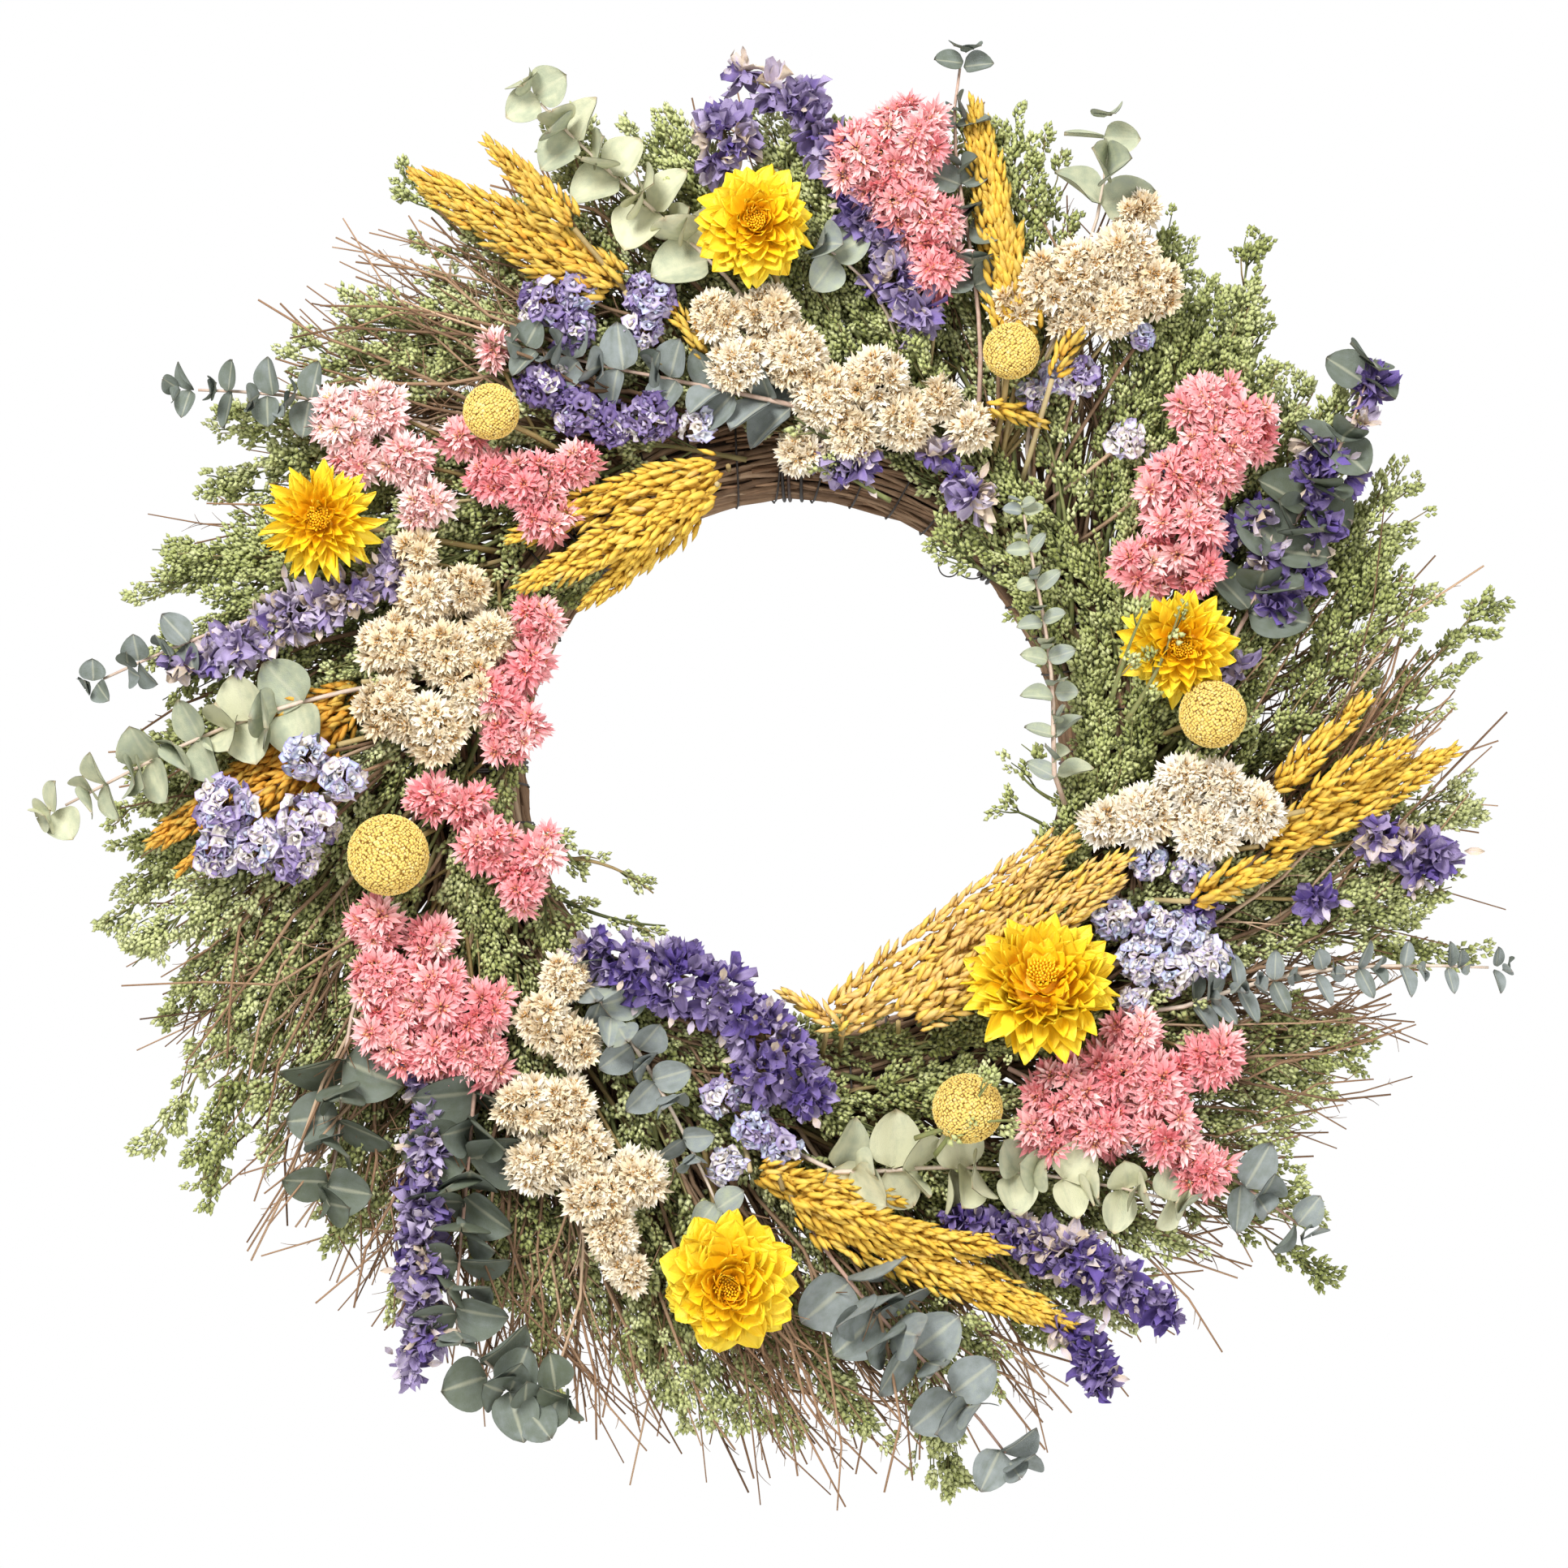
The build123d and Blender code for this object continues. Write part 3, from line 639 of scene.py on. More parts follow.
# ---- Green sprays ----
def bud_clump(rng):
    """A tight clump of buds, about 5 across."""
    count = 7
    swing, rise = spiral(count)
    off = 1.15 * np.sqrt(1 - (rise - 0.35) ** 2)
    place = np.stack([4.4 * rise - 1.6, off * np.cos(swing), off * np.sin(swing)], -1)
    place += rng.normal(0, 0.25, place.shape)
    pointing = unit(place + [3.6, 0, 0])
    size = rng.uniform(2.1, 3.0, count)
    sizes = np.stack([1.15 * size, 0.85 * size, 0.85 * size], -1)
    turns = frames(pointing, rng.normal(0, 1, place.shape))
    return stamp(bud_shape, place, turns, sizes, rng.normal(0, 0.1, count))


def plume(root, tip, half_width, rng, tint, fullness=1.0):
    """A spray of clumped buds on branchlets round a stem."""
    length = np.linalg.norm(tip - root)
    ahead = unit(tip - root)
    side = unit(np.cross(ahead, FRONT))
    bow = side * rng.normal(0, 0.05) * length
    spine = bent(root[None], tip[None], bow[None], 12)
    parts = [tubes(spine, np.linspace(1.1, 0.35, 12)[None], 5, rng.uniform(0, 1), finish=1)]
    count = int(length * 0.25 * fullness)
    t = np.sort(rng.uniform(0.14, 1.0, count))
    start = root + (tip - root) * t[:, None] + bow * (4 * t * (1 - t))[:, None]
    swing = GOLDEN_ANGLE * np.arange(count) + rng.uniform(0, 1, count)
    outward = wheel(side, 0.6 * FRONT, swing)
    profile = 0.35 + 0.9 * np.sin(np.pi * t**0.9)
    reach = half_width * 1.4 * profile * rng.uniform(0.7, 1.3, count)
    opening = np.radians(rng.uniform(12, 34, count))[:, None]
    direction = unit(ahead * np.cos(opening) + outward * np.sin(opening))
    end = start + direction * reach[:, None] * 1.3 + ahead * (0.25 * reach)[:, None]
    bend = outward * (0.12 * reach)[:, None]
    twigs = bent(start, end, bend, 4)
    parts.append(tubes(twigs, np.linspace(0.5, 0.25, 4)[None], 3, rng.uniform(0, 1, count), finish=1))
    each = np.maximum((reach * 0.43).astype(int), 3)
    which = np.repeat(np.arange(count), each)
    clumps = len(which)
    s = rng.uniform(0.15, 1.04, clumps)[:, None]
    place = start[which] * (1 - s) + end[which] * s + bend[which] * 4 * s * (1 - s)
    spread = rng.normal(0, 1, (clumps, 3))
    place = place + spread * 0.95
    pointing = unit(direction[which] + 0.3 * spread)
    tints = tint + rng.normal(0, 0.1, clumps) + 0.16 * (s[:, 0] - 0.5)
    kind = rng.integers(0, len(clump_shapes), clumps)
    turns = frames(pointing, spread)
    size = rng.uniform(0.8, 1.2, clumps) * (1.1 - 0.25 * s[:, 0])
    return parts + stamp_each(clump_shapes, kind, place, turns, size, tints)


clump_shapes = [bud_clump(np.random.default_rng([33, number])) for number in range(3)]


sprays = 5
spray_arc = 360 // sprays
rim_spacing = 4.0
# Where the rim stands out: the angle of each bulge's middle, and how far it stands out there.
rim_bulges = [(245, 18.0), (140, 9.0)]


def in_fan(tip):
    """Whether a plume would end over one of the thicker fans of twigs."""
    angle = math.degrees(math.atan2(tip[2] - centre_z, tip[0]))
    return any(abs((angle - fan[0] + 180) % 360 - 180) < 1.1 * fan[1] for fan in twig_fans)


def fronds(node, index):
    """A plume on each frond of the CAD."""
    rng = np.random.default_rng([31, index])
    parts = []
    for points in solids(node):
        middle, axes, half = measure(points)
        root, tip = sorted(both_ends(middle, axes, half), key=lambda p: math.hypot(p[0], p[2] - centre_z))
        tint = np.clip(rng.normal(0.55, 0.14), 0.25, 0.85)
        parts += plume(root, tip, 1.1 * half[1], rng, tint, 0.5 if in_fan(tip) else 1.15)
    return parts


def rim_greens(index):
    """More plumes between the fronds, which thicken the rim."""
    rng = np.random.default_rng([39, index])
    parts = []
    for angle in np.arange(spray_arc * index, spray_arc * (index + 1), rim_spacing):
        root = polar(ring_radius + rng.uniform(8, 24), angle + rng.uniform(-3, 3), rng.uniform(34, 44))
        tip_angle = angle + rng.uniform(18, 34)
        bulge = sum(size * max(math.cos(math.radians(tip_angle - middle)), 0) for middle, size in rim_bulges)
        tip = polar(rng.uniform(200, 242) + bulge, tip_angle, rng.uniform(26, 48))
        if not in_fan(tip):
            parts += plume(root, tip, rng.uniform(8, 12), rng, rng.uniform(0.45, 0.8), 1.0)
        elif bulge > 8:
            parts += plume(root, tip, rng.uniform(6, 9), rng, rng.uniform(0.4, 0.7), 0.7)
        if 66 < angle < 84:
            tip = polar(rng.uniform(200, 236), angle + rng.uniform(14, 24), rng.uniform(44, 52))
            parts += plume(root, tip, 10.0, rng, rng.uniform(0.4, 0.7), 1.0)
    return parts


def low_greens(index):
    """Short plumes that lie along the ring, over the bound stems, but not at its bare top."""
    rng = np.random.default_rng([35, index])
    parts = []
    for angle in np.arange(spray_arc * index, spray_arc * (index + 1), 7.5):
        if 52 < angle < 112:
            continue
        radius = ring_radius + rng.uniform(-15, 10)
        root = polar(radius, angle, rng.uniform(38, 42))
        tip = polar(radius + rng.uniform(-4, 12), angle + rng.uniform(20, 27), rng.uniform(44, 50))
        parts += plume(root, tip, rng.uniform(6, 9), rng, rng.uniform(0.35, 0.65), 1.2)
        if angle < 40 or angle > 320:
            radius = ring_radius - rng.uniform(4, 14)
            root, tip = polar(radius, angle, 38.0), polar(radius - 2, angle + rng.uniform(15, 22), 47.0)
            parts += plume(root, tip, 6.0, rng, rng.uniform(0.4, 0.65), 1.2)
    return parts


# Thin wisps that lean into the hole: root (radius, angle), tip (radius, angle), depth of the tip.
inner_wisps = [((104, 200), (70, 222), 40), ((102, 192), (88, 205), 46), ((104, 206), (76, 231), 34),
               ((103, 352), (84, 358), 44), ((104, 345), (82, 349), 38), ((104, 356), (88, 3), 48)]

# Thin wisps that lie over the flowers, as inner_wisps.
over_wisps = [((122, 8), (150, 22), 84), ((118, 12), (138, 24), 86), ((150, 290), (132, 303), 90),
              ((142, 288), (150, 302), 88), ((104, 70), (112, 84), 62), ((118, 78), (128, 90), 66)]


def wisps(index):
    """The thin wisps whose roots are in a spray's arc."""
    rng = np.random.default_rng([37, index])
    parts = []
    for (root_radius, root_angle), (tip_radius, tip_angle), depth in inner_wisps + over_wisps:
        if root_angle // spray_arc == index:
            start = polar(root_radius, root_angle, min(depth - 6, 74))
            parts += plume(start, polar(tip_radius, tip_angle, depth), 5.0, rng, 0.55, 0.35)
    return parts


def green_spray(node, index):
    return join(fronds(node, index) + low_greens(index) + rim_greens(index) + wisps(index))


make_pieces("green_spray", "green_buds", sprays, green_spray, [green_material, green_stem_material])


# ---- Eucalyptus ----
def leaf_shape(cup, fold):
    """A rounded leaf with a point, cupped across and folded a little at its midrib."""
    def width(u):
        return 0.04 + 2.3 * u**0.5 * (1 - u) ** 0.72

    def height(u, v):
        return cup * v**2 * np.sin(np.pi * u) + fold * np.abs(v) - 0.10 * (u - 0.4) ** 2 * 4 * cup

    return sheet(11, 7, width, height, back=0.012)


leaf_shapes = [leaf_shape(0.16, 0.05), leaf_shape(0.05, 0.08), leaf_shape(0.24, 0.02)]
# Look of each node's sprigs: their leaves' tint, from dark green through blue-grey to pale sage.
eucalyptus_tints = [[0.93, 0.6], [0.22, 0.35], [0.38], [0.86], [0.1, 0.14, 0.12], [0.55], [0.48, 0.97, 0.4],
                    [0.42, 0.66], [0.08], [0.28, 0.84]]
leaf_sizes = [1.05, 1.0, 1.1, 1.05, 1.1, 1.0, 1.15, 1.0, 1.1, 1.0]
leaf_half = 0.75  # half the thickness of a leaf's solid is less, of a stem's more


def stem_line(points, steps):
    """The middle line of a bent stem, from the end nearer the wall."""
    middle, axes, half = measure(points)
    place = (points - middle) @ axes[0]
    edges = np.linspace(-half[0], half[0], steps + 1)
    line = [points[(place >= a - 2) & (place <= b + 2)] for a, b in zip(edges[:-1], edges[1:])]
    line = np.array([part.mean(0) for part in line if len(part)])
    return line if line[0, 1] > line[-1, 1] else line[::-1]


def eucalyptus(node, index):
    rng = np.random.default_rng([41, index])
    found = [(points, measure(points)) for points in solids(node)]
    stems = [points for points, (_, _, half) in found if half[2] > leaf_half]
    leaves = [item for item in found if item[1][2][2] <= leaf_half]
    parts = []
    lines = [stem_line(points, 10) for points in stems]
    for line in lines:
        thick = np.linspace(1.0, 0.5, len(line))[None]
        parts.append(tubes(line[None], thick, 6, rng.uniform(0.2, 1), finish=1))
    for points, (middle, axes, half) in leaves:
        apart = [np.linalg.norm(points[:, None] - stem[None], axis=-1).min(1) for stem in stems]
        sprig = int(np.argmin([gaps.min() for gaps in apart]))
        root = points[apart[sprig].argmin()]
        along = unit(middle - root)
        length = 2 * np.linalg.norm(middle - root)
        facing = axes[2] if axes[2] @ FRONT > 0 else -axes[2]
        across = unit(np.cross(facing, along))
        width = np.ptp(points @ across)
        tilt = np.array([rng.normal(0, 0.35)])
        facing = turned(facing[None], along[None], tilt)
        along = unit(along + rng.normal(0, 0.1, 3))
        size = np.array([[length, 1.1 * width, length]]) * rng.uniform(1.0, 1.2) * leaf_sizes[index]
        tint = np.clip(eucalyptus_tints[index][sprig] + rng.normal(0, 0.07), 0, 1)
        shape = leaf_shapes[rng.integers(3)]
        parts.append(stamp(shape, root[None] + FRONT * 0.4, frames(along[None], facing), size, tint))
        # the next pair stands crosswise to this one, a little further along the stem
        line = lines[sprig]
        step = min(np.linalg.norm(line - root, axis=-1).argmin(), len(line) - 2)
        ahead = unit(line[step + 1] - line[step])
        swing = math.radians(rng.uniform(35, 100)) * (1 if np.cross(ahead, along) @ FRONT > 0 else -1)
        crossing = turned(along[None], ahead[None], np.array([swing]))
        place = root + ahead * rng.uniform(0.35, 0.6) * length
        shape = leaf_shapes[rng.integers(3)]
        parts.append(stamp(shape, place[None], frames(crossing, rng.normal(0, 0.3, (1, 3)) + FRONT + ahead),
                           size * rng.uniform(0.75, 1.0), np.clip(tint + rng.normal(0, 0.05), 0, 1)))
    return join(parts)


make_pieces("eucalyptus", "eucalyptus_sprig", 10, eucalyptus,
            [eucalyptus_material, eucalyptus_stem_material])


# ---- Grain ----
# Each node's tint, lift towards the front, width of the strands together as a share of the solid's, and
# how far a head's strands stay apart at its tip.
grain_forms = [
    (0.28, 0.0, 1.0, 0.45), (0.42, 0.0, 1.0, 0.45), (0.6, 0.0, 1.0, 0.45), (0.05, -9.0, 1.0, 0.45),
    (0.55, 0.0, 1.0, 0.45), (0.92, 0.0, 1.25, 0.9), (0.6, 0.0, 1.1, 0.6),
]


def spike(base, tip, radius, rng, tint):
    """One narrow spike: pointed husks in overlapping rows round its axis."""
    length = np.linalg.norm(tip - base)
    ahead = unit(tip - base)
    side = unit(np.cross(ahead, FRONT))
    up = np.cross(side, ahead)
    bow = side * rng.normal(0, 0.03) * length
    count = int(length / 0.9)
    t = (np.arange(count) + 0.5) / count
    swing = 2 * np.pi / 5 * 2 * np.arange(count) + rng.normal(0, 0.55, count) + rng.uniform(0, 6)
    outward = wheel(side, up, swing)
    full = radius * np.clip(1.25 - 0.85 * t**2.2, 0.35, 1)
    axis = base + (tip - base) * t[:, None] * 0.95 + bow * (4 * t * (1 - t))[:, None]
    place = axis + outward * (0.35 * full)[:, None]
    opening = np.radians(rng.uniform(12, 40, count) * (1.1 - 0.5 * t))[:, None]
    direction = unit(ahead * np.cos(opening) + outward * np.sin(opening))
    size = rng.uniform(6.6, 9.6, count) * np.clip(1.15 - 0.45 * t, 0.6, 1)
    sizes = np.stack([size, 0.32 * size, 0.27 * size], -1)
    tints = np.clip(tint + rng.normal(0, 0.12, count), 0, 1)
    return [stamp(seed_shape, place, frames(direction, outward), sizes, tints)]


def grain(node, index):
    rng = np.random.default_rng([51, index])
    tint, lift, fullness, tip_spread = grain_forms[index]
    straws = stalk_ends(node)
    outer_ends = np.array([ends[1] for ends in straws])
    parts = [stalk(a, b, 1.0, rng.uniform(0, 1)) for a, b in straws]
    for points in solids(node):
        middle, axes, half = measure(points)
        if half[1] < stalk_half:
            continue
        ends = both_ends(middle, axes, half)
        base, tip = sorted(ends, key=lambda p: np.linalg.norm(outer_ends - p, axis=-1).min())
        radius = half[1] * fullness
        ahead = unit(tip - base)
        side = unit(np.cross(ahead, FRONT))
        strands = 1 + int(max(radius - 3.5, 0) / 1.45)
        for strand in range(strands):
            share = 0.0 if strands == 1 else 2 * strand / (strands - 1) - 1
            rise = lift + rng.uniform(-1.5, 1.5) - 3.0 * share**2
            offset = side * share * (radius - 4.0) + FRONT * rise
            start = base + offset + (tip - base) * rng.uniform(0.0, 0.06)
            short = 0.1 * abs(share) + rng.uniform(0, 0.05)
            end = tip + offset * tip_spread - (tip - base) * short
            parts += spike(start, end, min(radius, 4.2), rng, tint)
    return join(parts)


make_pieces("grain_bunch", "grain_spikes", 7, grain, [grain_material, straw_material])


# ---- Strawflowers ----
# Rows of petals from the rim inwards: how many, reach as a share of the radius, opening angle from the
# face, curl of the tip (outwards if negative), root as a share of the radius, tint.
open_rows = [
    (20, 1.00, 3, -0.06, 0.40, 0.85), (19, 0.96, 9, 0.00, 0.38, 0.80), (19, 0.88, 15, 0.04, 0.34, 0.80),
    (19, 0.78, 21, 0.08, 0.30, 0.75), (18, 0.67, 28, 0.14, 0.26, 0.70), (17, 0.55, 36, 0.20, 0.21, 0.60),
    (15, 0.43, 44, 0.28, 0.15, 0.50), (12, 0.31, 52, 0.35, 0.09, 0.38),
]
fringed_rows = [
    (20, 1.00, 2, -0.10, 0.42, 0.85), (20, 0.98, 9, -0.05, 0.42, 0.80), (22, 0.92, 17, 0.00, 0.42, 0.85),
    (24, 0.84, 28, 0.04, 0.42, 0.90), (26, 0.76, 40, 0.10, 0.42, 0.85), (26, 0.62, 50, 0.20, 0.36, 0.75),
    (24, 0.44, 40, 0.15, 0.20, 0.55), (16, 0.26, 34, 0.10, 0.06, 0.40),
]
# How each flower is: its rows, how pointed its petals are, their width as a share of its radius, and
# how far its ragged petals stand past the solid.
strawflower_forms = [
    (open_rows, 4.0, 0.40, 1.04), (open_rows, 1.7, 0.28, 1.04), (open_rows, 2.6, 0.36, 1.02),
    (fringed_rows, 3.2, 0.32, 1.08), (open_rows, 6.0, 0.44, 1.02),
]


def papery_petal(curl, point):
    """A petal whose tip is sharper the lower point is."""
    def width(u):
        return 0.05 + (0.40 + 0.60 * np.sin(np.pi * u * 0.85)) * (1 - u**point) ** 0.85

    def height(u, v):
        ripple = 0.02 * np.sin(11 * v) * u + 0.012 * np.cos(9 * v)
        return curl * u**2 + 0.18 * v**2 * np.sin(np.pi * u) + ripple

    return sheet(8, 7, width, height, back=0.012)


def strawflower(node, index):
    rng = np.random.default_rng([61, index])
    parts = []
    for points in solids(node):
        middle, axes, half = measure(points)
        if half[1] < stalk_half:
            parts.append(stalk(*sorted(both_ends(middle, axes, half), key=lambda p: -p[1]), 1.2, 0.4))
            continue
        normal = axes[2] if axes[2] @ FRONT > 0 else -axes[2]
        rows, point, petal_width, swell = strawflower_forms[index]
        radius = swell * (half[0] + half[1]) / 2
        heart = middle - normal * (half[2] - 2.0)
        side = unit(np.cross(normal, np.array([0.0, 0.0, 1.0])))
        up = np.cross(side, normal)
        for row, (count, reach, opening, curl, inner, tint) in enumerate(rows):
            swing = 2 * np.pi * (np.arange(count) + 0.5 * (row % 2) + rng.uniform(-0.7, 0.7, count)) / count
            outward = wheel(side, up, swing)
            lift = np.radians(opening + rng.normal(0, 8, count))[:, None]
            direction, facing = raised(outward, normal, lift)
            place = heart + outward * (inner * radius) + normal * (0.05 * row * radius)
            length = (reach - inner) * radius / max(math.cos(math.radians(opening)), 0.42)
            length = length * rng.uniform(0.7, 1.08, count)
            breadth = petal_width * rng.uniform(0.75, 1.2, count) * radius * (0.55 + 0.45 * reach)
            facing = facing + 0.38 * rng.normal(0, 1, (count, 1)) * np.cross(direction, facing)
            sizes = np.stack([length, breadth, length], -1)
            tints = np.clip(tint + rng.normal(0, 0.08, count), 0, 1)
            parts.append(stamp(papery_petal(curl, point), place, frames(direction, facing), sizes, tints))
        cushion = 60
        swing, spot = spiral(cushion)
        outward = wheel(side, up, swing)
        place = heart + outward * (np.sqrt(spot) * 0.16 * radius)[:, None] + normal * (0.42 * radius)
        pointing = unit(normal + 0.4 * outward * spot[:, None])
        parts.append(stamp(bud_shape, place, frames(pointing, outward), [[3.2, 1.5, 1.5]] * cushion,
                           rng.uniform(0.2, 0.7, cushion)))
        back = heart[None] - normal * 1.5
        cup = turned_body(14, [0.0, 0.3, 0.7, 1.0], [0.25, 0.7, 0.95, 0.6])
        cup_size = radius * np.array([[0.34, 0.5, 0.5]])
        parts.append(stamp(cup, back, frames(normal[None], side[None]), cup_size, 0.3))
    return join(parts)


make_pieces("strawflower", "strawflower_head", 5, strawflower, [strawflower_material, straw_material])


# ---- Billy buttons ----
def billy_button(node, index):
    rng = np.random.default_rng([71, index])
    parts = []
    for middle, radius in balls(node):
        count = int(9 * radius**2)
        swing, spot = spiral(count)
        height = 1 - 2 * spot
        flat = np.sqrt(1 - height**2)
        outward = np.stack([flat * np.cos(swing), flat * np.sin(swing), height], -1)
        outward = unit(outward + rng.normal(0, 0.015, outward.shape))
        place = middle + outward * (radius - 0.9)
        size = rng.uniform(0.85, 1.15, count)
        width = 1.25 * math.sqrt(4 * math.pi * radius**2 / count)
        sizes = np.stack([0.8 * size, width * size, width * size], -1)
        parts.append(stamp(granule_shape, place, frames(outward, np.array([0.3, 0.2, 0.9])), sizes,
                           np.clip(rng.normal(0.6, 0.16, count), 0, 1)))
        body = turned_body(24, np.linspace(0, 1, 13), 0.5 * np.sin(np.linspace(0.02, np.pi - 0.02, 13)))
        inside = radius - 0.8
        turn = frames(FRONT[None], np.array([[0.0, 0.0, 1.0]]))
        parts.append(stamp(body, (middle - FRONT * inside)[None], turn, 2 * inside, 0.4))
    for a, b in stalk_ends(node):
        parts.append(tubes(bent(a[None], b[None], np.array([[1.0, 0.0, 1.0]]), 5), 1.1, 6, 0.5, finish=1))
    return join(parts)


make_pieces("billy_button", "billy_button_head", 5, billy_button, [billy_material, straw_material])


# ---- Clusters of small flowers ----
def scatter(lobes, spacing, inset, rng, back=-0.35):
    """Places on rounded lobes, with outward directions and lobe numbers, clear of their neighbours."""
    places, outwards, owners = [], [], []
    for number, (middle, radius) in enumerate(lobes):
        count = max(int(4 * math.pi * radius**2 / (0.87 * spacing**2)), 4)
        swing, spot = spiral(count)
        height = 1 - 2 * spot
        swing = swing + rng.uniform(0, 6)
        flat = np.sqrt(1 - height**2)
        outward = np.stack([flat * np.cos(swing), -height, flat * np.sin(swing)], -1)
        outward = unit(outward + rng.normal(0, 0.12, outward.shape))
        out = max(radius - inset, 0.3 * radius)
        place = middle + outward * [out, 0.8 * out, out] + rng.normal(0, 0.12 * spacing, outward.shape)
        keep = outward @ FRONT > back
        for other, (there, size) in enumerate(lobes):
            if other != number:
                keep &= np.linalg.norm(place - there, axis=-1) > 0.72 * size
        places.append(place[keep])
        outwards.append(outward[keep])
        owners.append(np.full(keep.sum(), number))
    return np.concatenate(places), np.concatenate(outwards), np.concatenate(owners)


def star_head(rng, rows, florets):
    """A star-shaped head: rows of folded bracts (count, reach, opening, width) round a button."""
    bract = Shape(
        [(0.05, 0, 0), (0.62, 0.5, 0.03), (0.62, -0.5, 0.03), (1, 0, 0.04), (0.5, 0, -0.10)],
        [(0, 4, 1), (1, 4, 3), (3, 4, 2), (2, 4, 0)], [0.15, 0.7, 0.7, 1.0, 0.5], [0, 1, -1, 0, 0],
    )
    parts = []
    for count, reach, opening, width in rows:
        swing = 2 * np.pi * (np.arange(count) + rng.uniform(-0.3, 0.3, count)) / count + rng.uniform(0, 6)
        outward = np.stack([np.zeros(count), np.cos(swing), np.sin(swing)], -1)
        lift = np.radians(opening + rng.normal(0, 10, count))[:, None]
        direction, facing = raised(outward, AHEAD, lift)
        sizes = np.stack([reach * rng.uniform(0.8, 1.15, count), width * rng.uniform(0.8, 1.2, count),
                          np.full(count, reach)], -1)
        tints = rng.normal(0, 0.12, count)
        parts.append(stamp(bract, outward * 0.5, frames(direction, facing), sizes, tints))
    swing = GOLDEN_ANGLE * np.arange(florets)
    off = 1.1 * np.sqrt((np.arange(florets) + 0.3) / florets)
    place = np.stack([np.full(florets, 0.6), off * np.cos(swing), off * np.sin(swing)], -1)
    button = stamp(bud_shape, place, frames(place, np.array([0.1, 0.9, 0.3])), [[2.0, 1.2, 1.2]] * florets)
    button.along[:] = 0.0
    return join([*parts, button])


def pink_head(rng):
    """Broad coral bracts, opened wide."""
    return star_head(rng, ((12, 6.8, 6, 1.9), (10, 6.2, 26, 1.8), (7, 4.4, 52, 1.5)), 6)


def cream_head(rng):
    """Narrower papery bracts, more of them, round a brown button."""
    return star_head(rng, ((11, 5.4, 12, 1.8), (10, 5.2, 32, 1.7), (8, 4.0, 56, 1.5)), 7)


def ruffled_cup(rng):
    """A papery calyx: a funnel with a pleated, wavy rim."""
    rows, columns = 4, 12
    u = np.repeat([0.0, 0.4, 0.8, 1.0], columns)
    angle = np.tile(2 * np.pi * np.arange(columns) / columns, rows)
    squeeze = rng.uniform(0.35, 0.8)
    flare = 0.8 + 2.9 * u**1.2
    x = 3.6 * u - 0.8 * u**4
    points = np.stack([x, flare * np.cos(angle), squeeze * flare * np.sin(angle)], -1)
    points += rng.normal(0, 0.55, points.shape) * u[:, None] ** 2
    cup = Shape(points, grid_faces(rows, columns, wrap=True), u, np.sin(5 * angle))
    heart = stamp(bud_shape, np.array([[0.8, 0.2, 0.0]]), np.eye(3)[None], [[2.8, 3.0, 3.0]], 0.15)
    heart.along[:] = 0.6
    return join([cup, heart])


def crumpled_floret(rng):
    """A dried open floret: five cupped, creased petals."""
    def width(u):
        return 0.22 + 0.78 * np.sin(np.pi * (u * 0.85 + 0.12)) ** 0.9

    parts = []
    for petal in range(5):
        crease = rng.uniform(-0.25, 0.25)
        curl = rng.normal(0.05, 0.22)
        phase = rng.uniform(0, 6)
        shape = sheet(5, 5, width, lambda u, v: (0.25 + crease) * v**2 * u + curl * u**2
                      + 0.05 * np.sin(4 * v + 5 * u + phase))
        swing = 2 * np.pi * (petal + rng.uniform(-0.25, 0.25)) / 5
        outward = np.array([[0.0, math.cos(swing), math.sin(swing)]])
        direction, facing = raised(outward, AHEAD, math.radians(rng.uniform(10, 65)))
        length = rng.uniform(6.0, 9.0)
        parts.append(stamp(shape, outward * 0.4, frames(direction, facing),
                           [[length, length * rng.uniform(0.6, 0.85), length]], rng.normal(0, 0.14)))
    return join(parts)


spike_gap = 32.0  # the tufts of one flower spike stand closer than this


def between(lobes, tints):
    """Adds a tuft in the middle of each gap of a flower spike."""
    fuller, coloured = [], []
    for (middle, radius), tint in zip(lobes, tints):
        if fuller and np.linalg.norm(fuller[-1][0] - middle) < spike_gap:
            fuller.append(((fuller[-1][0] + middle) / 2, 0.38 * (fuller[-1][1] + radius)))
            coloured.append(tint)
        fuller.append((middle, radius))
        coloured.append(tint)
    return fuller, coloured


